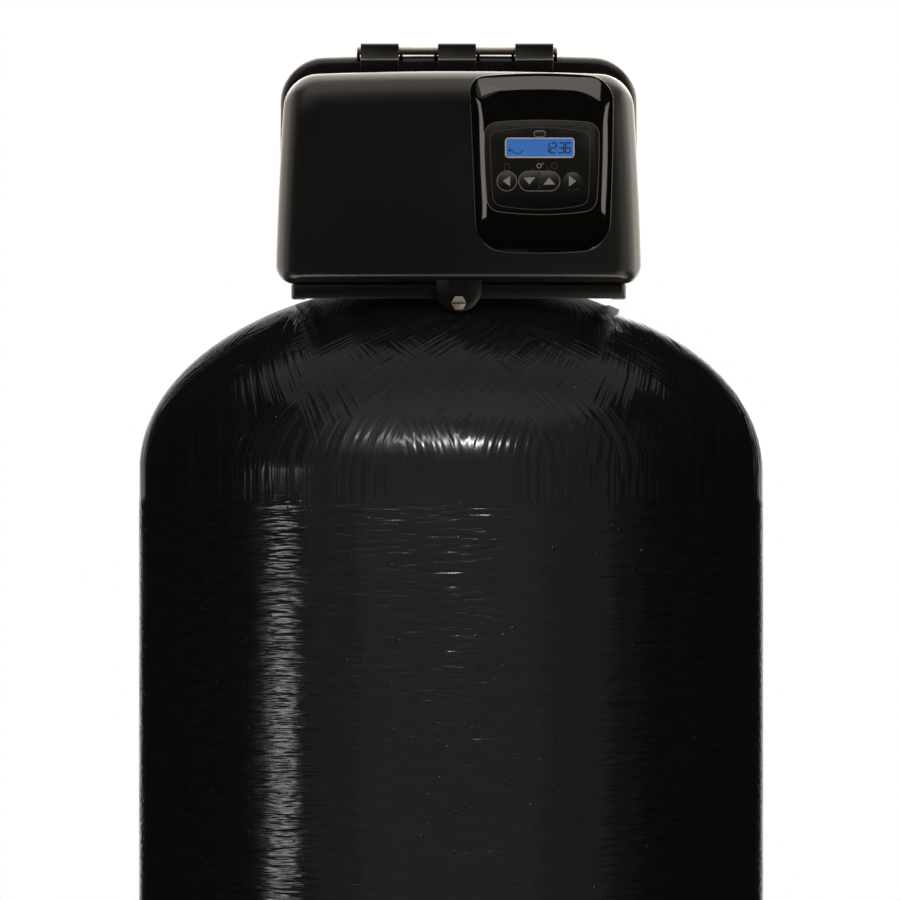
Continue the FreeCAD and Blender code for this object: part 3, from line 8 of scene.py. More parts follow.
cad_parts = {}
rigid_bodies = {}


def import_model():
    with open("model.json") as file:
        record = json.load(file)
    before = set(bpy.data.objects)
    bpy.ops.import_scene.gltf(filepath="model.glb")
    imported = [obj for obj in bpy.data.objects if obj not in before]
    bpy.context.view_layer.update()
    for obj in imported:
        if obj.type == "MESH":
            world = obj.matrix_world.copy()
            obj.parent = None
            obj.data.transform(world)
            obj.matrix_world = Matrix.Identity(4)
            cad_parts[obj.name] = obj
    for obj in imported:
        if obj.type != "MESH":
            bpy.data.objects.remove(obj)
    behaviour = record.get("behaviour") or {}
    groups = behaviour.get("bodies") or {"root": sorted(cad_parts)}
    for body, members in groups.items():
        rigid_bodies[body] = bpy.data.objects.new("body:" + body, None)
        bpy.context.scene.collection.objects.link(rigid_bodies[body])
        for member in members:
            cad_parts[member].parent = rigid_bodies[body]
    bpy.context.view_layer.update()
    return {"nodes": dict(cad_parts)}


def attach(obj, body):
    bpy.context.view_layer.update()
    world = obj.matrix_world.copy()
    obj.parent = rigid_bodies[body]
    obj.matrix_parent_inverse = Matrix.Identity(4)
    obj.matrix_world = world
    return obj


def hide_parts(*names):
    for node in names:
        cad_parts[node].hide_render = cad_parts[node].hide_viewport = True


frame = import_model()
solids = frame["nodes"]

# Camera: level with the tank's shoulder and far away, as the photograph was taken, so that
# upright edges stay upright. The picture's frame crops the tank below the shoulder.

bpy.ops.object.select_all(action="DESELECT")
camera_away = 24.0
seen_width = 0.592
picture_centre = (-0.0007, 1.5305)
bpy.ops.object.camera_add(
    location=(picture_centre[0], -camera_away, picture_centre[1]),
    rotation=(math.radians(90), 0, 0),
)
camera = bpy.context.object
camera.data.sensor_width = 36
camera.data.lens = 36 * camera_away / seen_width
camera.data.clip_end = 60
bpy.context.scene.camera = camera
bpy.context.scene.view_settings.view_transform = "Standard"

# Studio: a pale floor, and surroundings that are white behind the object and dim in front.
# Finishes are built here too: Value does shader sums, and Finish adds a material's nodes.


class Value:
    """A socket's value. Sums with it add Math nodes."""

    def __init__(self, finish, socket):
        self.finish = finish
        self.socket = socket

    def sum(self, operation, first, second):
        return self.finish.add("ShaderNodeMath", {"operation": operation}, {0: first, 1: second})

    def __add__(self, other):
        return self.sum("ADD", self, other)

    def __sub__(self, other):
        return self.sum("SUBTRACT", self, other)

    def __rsub__(self, other):
        return self.sum("SUBTRACT", other, self)

    def __mul__(self, other):
        return self.sum("MULTIPLY", self, other)


class Finish:
    """A surface's nodes, round one Principled shader with its plain settings."""

    def __init__(self, name, **plain):
        self.material = bpy.data.materials.new(name)
        self.material.use_nodes = True
        self.tree = self.material.node_tree
        self.shader = self.tree.nodes["Principled BSDF"]
        for key, value in plain.items():
            socket = key.replace("_", " ").title().replace("Ior", "IOR")
            self.shader.inputs[socket].default_value = value

    def add(self, kind, settings=None, inputs=None, output=0):
        node = self.tree.nodes.new(kind)
        for key, value in (settings or {}).items():
            setattr(node, key, value)
        for key, value in (inputs or {}).items():
            if isinstance(value, Value):
                self.tree.links.new(value.socket, node.inputs[key])
            else:
                node.inputs[key].default_value = value
        return Value(self, node.outputs[output])

    def places(self):
        """Object coordinates, in metres."""
        return self.add("ShaderNodeTexCoord", output="Object")

    def parts(self, vector):
        """A vector's x, y and z."""
        node = self.tree.nodes.new("ShaderNodeSeparateXYZ")
        self.tree.links.new(vector.socket, node.inputs[0])
        return [Value(self, socket) for socket in node.outputs]

    def vector(self, x, y, z):
        return self.add("ShaderNodeCombineXYZ", inputs={0: x, 1: y, 2: z})

    def noise(self, vector, scale, detail=2.0):
        return self.add(
            "ShaderNodeTexNoise", inputs={"Vector": vector, "Scale": scale, "Detail": detail}
        )

    def fit(self, value, low, high, new_low=0.0, new_high=1.0):
        """A value's range from low to high, carried smoothly to a new range."""
        return self.add(
            "ShaderNodeMapRange",
            {"interpolation_type": "SMOOTHSTEP"},
            {"Value": value, "From Min": low, "From Max": high, "To Min": new_low, "To Max": new_high},
        )

    def blend(self, share, first, second):
        """A colour between two others."""
        return self.add(
            "ShaderNodeMix",
            {"data_type": "RGBA"},
            {"Factor": share, 6: first, 7: second},
            output=2,
        )

    def feed(self, socket, value):
        self.tree.links.new(value.socket, self.shader.inputs[socket])
        return self

    def shaded(self, share, dark, light):
        """A base colour between two shades."""
        return self.feed("Base Color", self.blend(share, (*dark, 1), (*light, 1)))

    def clouded(self, scale, dark, light):
        """A base colour that drifts from one shade to another in soft clouds."""
        return self.shaded(self.noise(self.places(), scale), dark, light)

    def uneven(self, share, smooth, rough):
        """A roughness between two levels, by a noise."""
        return self.feed("Roughness", self.fit(share, 0.3, 0.7, smooth, rough))

    def relief(self, height, depth, strength=1.0):
        """Raises the surface by a height between 0 and 1, times a depth in metres."""
        bump = self.add(
            "ShaderNodeBump", inputs={"Strength": strength, "Distance": depth, "Height": height}
        )
        return self.feed("Normal", bump)


def world_value(tree, kind, inputs=None, output=0, **settings):
    node = tree.nodes.new(kind)
    for key, value in settings.items():
        setattr(node, key, value)
    for key, value in (inputs or {}).items():
        if hasattr(value, "is_output"):
            tree.links.new(value, node.inputs[key])
        else:
            node.inputs[key].default_value = value
    return node.outputs[output]


world = bpy.data.worlds.new("studio")
world.use_nodes = True
bpy.context.scene.world = world
sky = world.node_tree
rays = sky.nodes.new("ShaderNodeLightPath")
where = world_value(sky, "ShaderNodeTexCoord", output=0)
ahead = world_value(sky, "ShaderNodeSeparateXYZ", {0: where}, output=1)
white_behind = {"Value": ahead, "From Min": 0.96, "From Max": 0.995, "To Min": 0.007, "To Max": 1.0}
behind = world_value(sky, "ShaderNodeMapRange", white_behind)


def sky_sum(operation, first, second):
    return world_value(sky, "ShaderNodeMath", {0: first, 1: second}, operation=operation)


through = sky_sum("MAXIMUM", rays.outputs["Is Glossy Ray"], rays.outputs["Is Transmission Ray"])
mirror_light = sky_sum("MULTIPLY", through, behind)
matt_light = sky_sum("MULTIPLY", rays.outputs["Is Diffuse Ray"], 0.11)
both = sky_sum("ADD", mirror_light, matt_light)
level = sky_sum("MAXIMUM", both, rays.outputs["Is Camera Ray"])
sky.links.new(level, sky.nodes["Background"].inputs["Strength"])
sky.nodes["Background"].inputs["Color"].default_value = (1, 1, 1, 1)

floor_half = 40.0
bpy.ops.mesh.primitive_grid_add(x_subdivisions=8, y_subdivisions=8, size=2 * floor_half)
floor = bpy.context.object
floor.name = "studio_floor"
floor_finish = Finish("floor_paint", base_color=(0.8, 0.8, 0.79, 1), roughness=0.9)
floor_finish.clouded(3.0, (0.79, 0.79, 0.78), (0.82, 0.82, 0.81))
floor.data.materials.append(floor_finish.material)
floor.visible_glossy = False
floor.visible_diffuse = False

# Lamps: soft boxes in four groups, for the tank, the head, the console and the floor, since each
# dark surface shows its form by what it mirrors. A group's collection holds the pieces that it
# lights, but the head's holds those that it leaves out, which cast no shadow on the head either.

tank_lit = bpy.data.collections.new("tank_lit")
head_lit = bpy.data.collections.new("head_lit")
bezel_lit = bpy.data.collections.new("bezel_lit")


def left_out(collection, piece):
    """Adds a piece to a collection as one that its lamps leave out."""
    collection.objects.link(piece)
    for member, link in zip(collection.objects, collection.collection_objects):
        if member == piece:
            link.light_linking.link_state = "EXCLUDE"


def lamp(name, spot, aim, across, up, radiance, lit=None, colour=(1, 1, 1)):
    """A soft rectangular lamp that faces a point and isn't itself in the picture."""
    bpy.ops.object.light_add(type="AREA", location=spot)
    light = bpy.context.object
    light.name = name
    light.rotation_euler = (Vector(aim) - Vector(spot)).to_track_quat("-Z", "Y").to_euler()
    light.data.shape = "RECTANGLE"
    light.data.size = across
    light.data.size_y = up
    light.data.energy = radiance * math.pi * across * up
    light.data.color = colour
    light.visible_camera = False
    if lit:
        light.light_linking.receiver_collection = lit
    if lit in (head_lit, bezel_lit):
        light.light_linking.blocker_collection = head_lit
    return light


tank_aim = (0, 0, 1.4)
head_aim = (0, -0.05, 1.72)
warm = (1.0, 0.92, 0.82)
lamp("lamp_fill", (-1.2, -2.6, 3.1), (0, 0, 1.5), 2.2, 1.4, 0.4)
lamp("lamp_tank_left", (-2.67, -1.36, 1.37), tank_aim, 0.55, 0.3, 6.5, tank_lit)
lamp("lamp_tank_dome", (-0.35, -2.7, 2.88), (0, 0, 1.54), 2.0, 0.13, 11, tank_lit)
lamp("lamp_tank_spot", (0.28, -2.7, 2.8), (0, 0, 1.54), 0.75, 0.14, 42, tank_lit)
lamp("lamp_tank_front", (0, -2.2, 2.1), (0, 0, 1.7), 3.0, 4.0, 0.09, tank_lit)
lamp("lamp_tank_wide", (0.3, -2.3, 2.6), (0.2, 0, 1.9), 8.0, 6.0, 0.13, tank_lit)
lamp("lamp_tank_far", (0, -1.7, 2.4), (0, 0, 1.7), 14.0, 5.0, 0.05, tank_lit)
tank_top = lamp("lamp_tank_top", (0, -0.35, 3.2), (0, -0.3, 1.6), 3.2, 2.6, 0.27, tank_lit)
tank_top.light_linking.blocker_collection = tank_lit
lamp("lamp_tank_rear", (0.25, 2.9, 2.1), (0, 0, 1.3), 0.5, 1.2, 4, tank_lit)
lamp("lamp_head_left", (-1.15, 0.85, 1.85), head_aim, 2.4, 2.0, 2.0, head_lit, warm)
lamp("lamp_side_left", (-1.25, -0.3, 1.85), head_aim, 0.9, 1.2, 0.9, head_lit, warm)
lamp("lamp_head_right", (1.15, 0.85, 1.9), head_aim, 2.4, 2.0, 3.0, head_lit, warm)
lamp("lamp_side_right", (1.28, -0.12, 1.9), head_aim, 1.1, 1.2, 2.1, head_lit, warm)
lamp("lamp_head_corner", (0.95, -0.85, 1.85), head_aim, 0.8, 0.7, 0.8, head_lit, warm)
lamp("lamp_head_top", (0, 0.75, 2.85), head_aim, 3.0, 2.2, 4.0, head_lit, warm)
lamp("lamp_head_over", (0, -0.75, 2.85), head_aim, 1.8, 1.0, 1.3, head_lit, warm)
lamp("lamp_head_back", (0, 1.25, 1.95), (0, 0, 1.85), 1.3, 1.2, 1.3, head_lit, warm)
lamp("lamp_head_low", (0.55, -1.0, 1.3), (0.08, -0.1, 1.66), 0.6, 0.35, 2.4, head_lit, warm)
lamp("lamp_head_under", (0, -0.32, 0.95), (0, -0.12, 1.65), 1.4, 0.9, 4.2, head_lit, warm)
lamp("lamp_bezel_left", (-0.9, -1.0, 1.73), (0.05, -0.13, 1.72), 0.42, 0.4, 3.6, bezel_lit, warm)
lamp("lamp_bezel_right", (1.0, -0.7, 1.78), (0.1, -0.13, 1.72), 0.34, 0.3, 3.6, bezel_lit, warm)
lamp("lamp_bezel_top", (0.05, -0.95, 2.6), (0.05, -0.13, 1.75), 1.6, 1.2, 2.6, bezel_lit, warm)
lamp("lamp_bezel_rim", (0.05, -0.13, 0.9), (0.05, -0.129, 1.66), 1.0, 0.12, 4.0, bezel_lit, warm)
floor_lit = bpy.data.collections.new("floor_lit")
floor_lit.objects.link(floor)
left_out(head_lit, floor)
lamp("lamp_floor", (0, 0, 14), (0, 0.01, 0), 34.0, 34.0, 1.6, floor_lit)

# Wound tank shell: resin-soaked glass strands wound over the liner, hoops along the wall and
# slanting helical bands over the dome, set hard and left as wound. Pieces are drawn in
# millimetres, and settle() turns them to metres.

tank_radius = 205
dome_rise = 125
shoulder_height = 1518
pole_height = 14
winding_wall = 4.5
neck_edge = 54
neck_lip = 8
hoop_top = 1498
hoop_radius = tank_radius + 0.35
hoop_ramp = 2


def oval(centre, across, up, start, end, count):
    """Points on an arc of an oval with two half widths, between two angles in degrees."""
    spots = []
    for step in range(count + 1):
        angle = math.radians(start + (end - start) * step / count)
        spots.append((centre[0] + across * math.cos(angle), centre[1] + up * math.sin(angle)))
    return spots


def turned(name, spots, steps):
    """A closed outline of (radius, height) points, spun round the tank's axis."""
    bpy.ops.object.select_all(action="DESELECT")
    bpy.ops.mesh.primitive_plane_add(size=2)
    piece = bpy.context.object
    piece.name = name
    bpy.ops.object.mode_set(mode="EDIT")
    bpy.ops.mesh.merge(type="CENTER")
    bpy.ops.transform.translate(value=(spots[0][0], 0, spots[0][1]))
    for before, after in zip(spots, spots[1:]):
        move = (after[0] - before[0], 0, after[1] - before[1])
        bpy.ops.mesh.extrude_region_move(TRANSFORM_OT_translate={"value": move})
    bpy.ops.mesh.select_all(action="SELECT")
    bpy.ops.mesh.spin(
        steps=steps, angle=2 * math.pi, center=(0, 0, 0), axis=(0, 0, 1), use_auto_merge=True
    )
    bpy.ops.mesh.select_all(action="SELECT")
    bpy.ops.mesh.remove_doubles(threshold=0.001)
    bpy.ops.mesh.normals_make_consistent(inside=False)
    bpy.ops.object.mode_set(mode="OBJECT")
    return piece


MILLIMETRE = 0.001


def alone(piece):
    """Makes a piece the only selected one, and the active one."""
    bpy.ops.object.select_all(action="DESELECT")
    bpy.context.view_layer.objects.active = piece
    piece.select_set(True)


def settle(piece, body, finish, replaced=(), smooth=35, move=(0, 0, 0)):
    """Ends a piece: its place in metres, its finish, and the body that it rides on."""
    alone(piece)
    piece.data.transform(Matrix.Scale(MILLIMETRE, 4) @ Matrix.Translation(move))
    if smooth:
        bpy.ops.object.shade_smooth_by_angle(angle=math.radians(smooth))
    piece.data.materials.clear()
    piece.data.materials.append(finish.material)
    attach(piece, body)
    if replaced:
        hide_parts(*replaced)


def recoat(finish, *names):
    """Gives CAD solids a finish."""
    for name in names:
        for place in solids[name].material_slots:
            place.material = finish.material


polar_angle = math.degrees(math.acos(neck_edge / tank_radius))
outer = [(neck_edge - neck_lip, shoulder_height + dome_rise - 3.8)]
shoulder = (0, shoulder_height)
outer += reversed(oval(shoulder, tank_radius, dome_rise, 0, polar_angle, 44))
outer += [(tank_radius, hoop_top + 0.5), (hoop_radius, hoop_top - hoop_ramp)]
outer += [(hoop_radius, height) for height in (1300, 1000, 700, 400)]
bottom_base = pole_height + dome_rise
hoop_bottom = bottom_base + 40
outer += [(hoop_radius, hoop_bottom + hoop_ramp), (tank_radius, hoop_bottom)]
bottom_middle = (0, bottom_base)
bottom = oval(bottom_middle, tank_radius, -dome_rise, 0, 86, 24)
inner_radius = tank_radius - winding_wall
inner_rise = dome_rise - winding_wall
inner_bottom = oval(bottom_middle, inner_radius, -inner_rise, 86, 0, 16)
inner_top = oval(shoulder, inner_radius, inner_rise, 0, 78, 16)
shell = turned("wound_shell", outer + bottom + inner_bottom + inner_top + outer[:1], 224)
tank_lit.objects.link(shell)
left_out(head_lit, shell)

wound = Finish("wound_glass_resin", roughness=0.15, specular_ior_level=0.5)
spot = wound.places()
x, y, z = wound.parts(spot)
hoop_line = wound.noise(wound.vector(x * 55, y * 55, z * 390), 1.0, 1.0)
hoop_fine = wound.noise(wound.vector(x * 40, y * 40, z * 1500), 1.0, 1.0)
hoop_tow = wound.noise(wound.vector(x * 6, y * 6, z * 110), 1.0, 1.0)
turn = wound.add("ShaderNodeMath", {"operation": "ARCTAN2"}, {0: y, 1: x})
flat = wound.vector(x, y, 0.0)
out = wound.add("ShaderNodeVectorMath", {"operation": "LENGTH"}, {0: flat}, output=1)
lean = (out - 0.05) * 7.0


def strands(direction, strand_scale):
    """Slanting strands over the dome, wound one way."""
    way = turn + lean * direction
    across = wound.add("ShaderNodeMath", {"operation": "COSINE"}, {0: way}) * strand_scale
    along = wound.add("ShaderNodeMath", {"operation": "SINE"}, {0: way}) * strand_scale
    return wound.noise(wound.vector(across, along, out * 24.0), 1.0, 1.0)


left_strands = strands(1.0, 44.0)
right_strands = strands(-1.0, 44.0)
crossing = wound.fit(wound.noise(spot, 22.0), 0.42, 0.58)
helical = left_strands * crossing + right_strands * (1 - crossing)
on_wall = wound.fit(z, 1.492, 1.504, 1.0, 0.0)
wall_height = hoop_line * 0.19 + hoop_fine * 0.03 + hoop_tow * 0.16
height = wall_height * on_wall + helical * 0.42 * (1 - on_wall)
speck = wound.fit(wound.noise(spot, 260.0, 0.0), 0.79, 0.84)
wound.relief(height + speck * 0.12, 0.0022)
shade = hoop_line * on_wall + helical * (1 - on_wall)
wound.shaded(wound.fit(shade, 0.3, 0.7), (0.0055, 0.0055, 0.0057), (0.008, 0.008, 0.0082))
wound.uneven(wound.noise(spot, 35.0), 0.12, 0.18)
settle(shell, "filter", wound, ["tank_winding"], smooth=50)

# Front cover: one moulding in warm black plastic with a fine grain, its front edges rounded
# by the tool, a little crowned on top. It carries the console, the hinge clips and the ear.

head_x = 5
neck_top = 1651
head_place = (head_x, 0, neck_top)


def on_head(piece, body, finish, replaced=(), smooth=35):
    """Ends a piece of the head, which is drawn from the top of the tank's neck."""
    settle(piece, body, finish, replaced, smooth, head_place)


def on_console(piece, body, finish, replaced=(), smooth=35):
    """Ends a piece of the console, which the console's own lamps light."""
    on_head(piece, body, finish, replaced, smooth)
    bezel_lit.objects.link(piece)
    left_out(head_lit, piece)


def outline(corners, bulge, arc_steps=10, side_steps=12):
    """Points round four rounded corners (x, z, radius), each side bowed out by its bulge.

    Corners and bulges start at the lower left and go round by the right: the bulges are the
    bottom's, the right side's, the top's and the left side's.
    """
    arcs = []
    for index, (corner_x, corner_z, radius) in enumerate(corners):
        here = Vector((corner_x, corner_z))
        back = (Vector(corners[index - 1][:2]) - here).normalized()
        ahead = (Vector(corners[(index + 1) % 4][:2]) - here).normalized()
        opening = back.angle(ahead)
        centre = here + (back + ahead).normalized() * (radius / math.sin(opening / 2))
        start = here + back * (radius / math.tan(opening / 2)) - centre
        sweep = math.pi - opening
        arcs.append([
            centre + Matrix.Rotation(sweep * step / arc_steps, 2) @ start
            for step in range(arc_steps + 1)
        ])
    spots = []
    for index, arc in enumerate(arcs):
        spots += arc
        after = arcs[(index + 1) % 4][0]
        spots += [arc[-1].lerp(after, step / side_steps) for step in range(1, side_steps)]
    xs = [spot.x for spot in spots]
    zs = [spot.y for spot in spots]
    middle = Vector(((min(xs) + max(xs)) / 2, (min(zs) + max(zs)) / 2))
    half = Vector(((max(xs) - min(xs)) / 2, (max(zs) - min(zs)) / 2))
    bottom_bow, right_bow, top_bow, left_bow = bulge
    bowed = []
    for spot in spots:
        u = (spot.x - middle.x) / half.x
        v = (spot.y - middle.y) / half.y
        bowed.append((
            spot.x + (1 - v * v) * (right_bow * (1 + u) - left_bow * (1 - u)) / 2,
            spot.y + (1 - u * u) * (top_bow * (1 + v) - bottom_bow * (1 - v)) / 2,
        ))
    return bowed


def ring(outline_spots, y):
    """An outline of (x, z) points, stood up at a distance along y."""
    return [Vector((x, y, z)) for x, z in outline_spots]


def lofted(name, rings, closed=False):
    """A form through rings of points. A closed one has its last ring joined to its first."""
    bpy.ops.object.select_all(action="DESELECT")
    bpy.ops.mesh.primitive_circle_add(
        vertices=len(rings[0]), fill_type="NOTHING" if closed else "NGON"
    )
    piece = bpy.context.object
    piece.name = name
    for corner, place in zip(piece.data.vertices, rings[0]):
        corner.co = place
    bpy.ops.object.mode_set(mode="EDIT")
    bpy.ops.mesh.select_all(action="SELECT")
    for before, after in zip(rings, rings[1:] + (rings[:1] if closed else [])):
        bpy.ops.mesh.extrude_region_move()
        tree = KDTree(len(before))
        for index, place in enumerate(before):
            tree.insert(place, index)
        tree.balance()
        mesh = bmesh.from_edit_mesh(piece.data)
        for corner in mesh.verts:
            if corner.select:
                corner.co = after[tree.find(corner.co)[1]]
        bmesh.update_edit_mesh(piece.data)
    bpy.ops.mesh.select_all(action="SELECT")
    if closed:
        bpy.ops.mesh.remove_doubles(threshold=0.0005)
    bpy.ops.mesh.normals_make_consistent(inside=False)
    bpy.ops.object.mode_set(mode="OBJECT")
    return piece


def drop_faces(piece, keep_out):
    """Deletes the faces whose centre passes a test."""
    bpy.ops.object.mode_set(mode="EDIT")
    bpy.ops.mesh.select_all(action="DESELECT")
    mesh = bmesh.from_edit_mesh(piece.data)
    for face in mesh.faces:
        face.select = keep_out(face.calc_center_median())
    bmesh.update_edit_mesh(piece.data)
    bpy.ops.mesh.delete(type="FACE")
    bpy.ops.object.mode_set(mode="OBJECT")


def modified(piece, kind, **settings):
    """Adds a modifier and applies it."""
    alone(piece)
    modifier = piece.modifiers.new(kind.title(), kind)
    for key, value in settings.items():
        setattr(modifier, key, value)
    bpy.ops.object.modifier_apply(modifier=modifier.name)
    return piece


def eased(piece, width, segments=2, angle=50):
    """Rounds a piece's edges that are sharper than an angle. No width leaves them sharp."""
    if width:
        modified(piece, "BEVEL", width=width, segments=segments, limit_method="ANGLE",
                 angle_limit=math.radians(angle))
    return piece


def cut(piece, *tools):
    """Takes the tools' shapes out of a piece, and then the tools themselves."""
    for tool in tools:
        modified(piece, "BOOLEAN", operation="DIFFERENCE", object=tool, solver="EXACT")
        bpy.data.objects.remove(tool)


def slab(name, x1, x2, y1, y2, z1, z2):
    """A straight-sided block between two corners."""
    bpy.ops.object.select_all(action="DESELECT")
    bpy.ops.mesh.primitive_cube_add(size=1, location=((x1 + x2) / 2, (y1 + y2) / 2, (z1 + z2) / 2))
    piece = bpy.context.object
    piece.name = name
    bpy.ops.transform.resize(value=(x2 - x1, y2 - y1, z2 - z1))
    bpy.ops.object.transform_apply(location=True, rotation=True, scale=True)
    return piece


def joined(name, pieces):
    """Several meshes made one piece."""
    bpy.ops.object.select_all(action="DESELECT")
    for piece in pieces:
        piece.select_set(True)
    bpy.context.view_layer.objects.active = pieces[0]
    bpy.ops.object.join()
    pieces[0].name = name
    return pieces[0]


cover_low = -11.7
cover_high = 124.5
cover_half = (120, 113.2)
cover_round = (12, 21.5)
cover_crown = 3
cover_bow = 0.9
cover_split = -60
cover_face = -128
face_swell = 0.9
head_middle = 60
edge_depth = 18
edge_inset = (17, 23, 7)
cover_wall = 3


def quarter(steps):
    """The sine and cosine of even steps through a quarter turn."""
    angles = [math.pi / 2 * step / steps for step in range(steps + 1)]
    return [(math.sin(angle), math.cos(angle)) for angle in angles]


def shrunk(spots, y, shrink):
    """A face's outline drawn in toward the middle of the head."""
    return [
        Vector((spot.x * shrink, y, head_middle + (spot.z - head_middle) * shrink))
        for spot in spots
    ]


def cover_ring(y, share, halves, low, high, rounds, crown, bow, inset):
    """A cover's outline at one depth, drawn in by a share of its edge's insets."""
    side, top, bottom = inset
    low_half = halves[0] - share * side
    high_half = halves[1] - share * side
    low_round = max(rounds[0] * (1 - share), 4.5)
    high_round = max(rounds[1] * (1 - 0.62 * share), 4.5)
    corners = [
        (-low_half, low + share * bottom, low_round),
        (low_half, low + share * bottom, low_round),
        (high_half, high - share * top, high_round),
        (-high_half, high - share * top, high_round),
    ]
    return ring(outline(corners, (0, bow, crown, bow)), y)


def front_ring(y, share):
    return cover_ring(
        y, share, cover_half, cover_low, cover_high, cover_round, cover_crown, cover_bow, edge_inset
    )


edge_steps = 14
wall_step = 6
cover_rings = [front_ring(cover_split - wall_step * step, 0) for step in range(9)]
for rise, fall in quarter(edge_steps):
    depth = cover_face + edge_depth * (1 - rise) + face_swell * rise ** 3
    cover_rings.append(front_ring(depth, 1 - fall))
for shrink in (0.97, 0.9, 0.75, 0.5, 0.22):
    cover_rings.append(shrunk(front_ring(0, 1), cover_face + face_swell * shrink ** 3, shrink))
cover = lofted("front_cover_shell", cover_rings)
drop_faces(cover, lambda middle: middle.y > cover_split - 0.01)
modified(cover, "SOLIDIFY", thickness=cover_wall, offset=-1, use_even_offset=False)
console_gap = (14.3, 94.3, -140, -123, 31, 96)
cut(cover, slab("console_gap", *console_gap))

moulded = Finish("moulded_black", roughness=0.32)
grain_spot = moulded.places()
grain = moulded.noise(grain_spot, 2600.0, 2.0)
cloud = moulded.noise(grain_spot, 9.0, 2.0)
moulded.shaded(cloud, (0.0027, 0.0024, 0.0022), (0.0037, 0.0033, 0.003))
moulded.uneven(cloud, 0.3, 0.35)
moulded.relief(grain, 0.00003, 0.6)
on_head(cover, "cover", moulded, ["front_cover"])

# Hinge: three clips moulded on the front cover snap round a steel rod, which is held by thin
# ribs of the rear cover beside each clip.

hinge_y = -58
hinge_z = 141.6
hinge_shift = -1.1
clip_pitch = 50.7
clip_width = 25
rod_radius = 2.9
clip_radius = 4.6


def swept(name, profile, left, right, rounding=0.4):
    """A (y, z) outline made a bar from left to right, with its edges eased."""
    ends = [[Vector((x, y, z)) for y, z in profile] for x in (left, right)]
    return eased(lofted(name, ends), rounding, 3, 40)


def arc(centre, radius, start, end, count):
    return oval(centre, radius, radius, start, end, count)


clip_middles = [hinge_shift + index * clip_pitch for index in (-1, 0, 1)]
hook = (
    [(-62.2, 125.5), (-67.8, 125.5), (-67.8, 135.2), (-66.8, 136.2), (-63.4, 136.6), (-63, 137.2)]
    + [(-63, 145.2), (-62, 146.2)]
    + arc((hinge_y, hinge_z), clip_radius, 80, -60, 12)
    + arc((hinge_y, hinge_z), rod_radius + 0.1, -60, 215, 20)
    + [(-61.2, 136.6), (-62.2, 133.0)]
)
clips = [
    swept("clip", hook, middle - clip_width / 2, middle + clip_width / 2)
    for middle in clip_middles
]
clip_piece = joined("hinge_clips", clips)
on_head(clip_piece, "cover", moulded, smooth=40)

# Rear cover: a deeper moulding of the same plastic behind the split, open underneath, with
# round holes for the pipe nuts and the drain.

rear_face = 84
rear_split = -59.7
rear_half = (117.5, 116.7)
rear_low = -12
rear_high = 136.1
rear_crown = 2.5
rear_round = (13, 28)
rear_edge = 12
front_round = 5
flange = 15
nut_hole = 31
port_x = 42
port_z = 39
drain_hole = 11
drain_z = 106
rib_wide = 2


def rear_ring(y, inset):
    """The rear cover's outline at one depth, drawn in all round."""
    halves = [half - inset for half in rear_half]
    rounds = [max(radius - inset, 4) for radius in rear_round]
    return cover_ring(
        y, 0, halves, rear_low + inset, rear_high - inset, rounds, rear_crown, 0, (0, 0, 0)
    )


rear_rings = [rear_ring(rear_split, flange)]
rear_steps = 8
floor_gap = (-92, 92, -61, 72, -20, -6)
for rise, fall in quarter(rear_steps):
    rear_rings.append(rear_ring(rear_split + front_round * (1 - fall), front_round * (1 - rise)))
rear_start = rear_split + front_round
rear_straight = rear_face - rear_edge - rear_start
for step in range(1, rear_steps + 1):
    rear_rings.append(rear_ring(rear_start + rear_straight * step / rear_steps, 0))
for rise, fall in quarter(edge_steps)[1:]:
    rear_rings.append(rear_ring(rear_face - rear_edge * (1 - rise), rear_edge * (1 - fall)))
for shrink in (0.8, 0.4):
    rear_rings.append(shrunk(rear_ring(0, rear_edge), rear_face, shrink))
rear = lofted("rear_cover_shell", rear_rings)


def on_opening(middle):
    """Whether a face closes the rear cover's open front."""
    return middle.y < rear_split + 0.01 and abs(middle.x) < 60 and 40 < middle.z < 90


drop_faces(rear, on_opening)
modified(rear, "SOLIDIFY", thickness=cover_wall, offset=-1, use_even_offset=False)


def round_bar(name, radius, start, end, axis, across, up, vertices=48):
    """A round bar along x or y, from start to end."""
    bpy.ops.object.select_all(action="DESELECT")
    middle = (start + end) / 2
    place = (middle, across, up) if axis == "x" else (across, middle, up)
    turn_by = (0, math.radians(90), 0) if axis == "x" else (math.radians(90), 0, 0)
    bpy.ops.mesh.primitive_cylinder_add(
        vertices=vertices, radius=radius, depth=end - start, location=place, rotation=turn_by
    )
    piece = bpy.context.object
    piece.name = name
    bpy.ops.object.transform_apply(location=True, rotation=True, scale=True)
    return piece


cut(
    rear,
    round_bar("hole_left", nut_hole, 60, 100, "y", -port_x - head_x, port_z),
    round_bar("hole_right", nut_hole, 60, 100, "y", port_x - head_x, port_z),
    round_bar("hole_drain", drain_hole, 60, 100, "y", -head_x, drain_z),
    slab("floor_gap", *floor_gap),
)
rib_profile = (
    [(-50, 134.6), (-59.7, 134.6), (-61.6, 138), (-61.6, 140.2), (-60.9, 140.4)]
    + arc((hinge_y, hinge_z), rod_radius + 0.05, 203, 337, 12)
    + [(-54.9, 140.2), (-51, 137.6)]
)
ribs = []
for middle in clip_middles:
    for left in (middle - clip_width / 2 - 2.5, middle + clip_width / 2 + 0.5):
        ribs.append(swept("rib", rib_profile, left, left + rib_wide, 0.7))
rear_piece = joined("rear_cover_shell", [rear] + ribs)
on_head(rear_piece, "filter", moulded, ["rear_cover"])

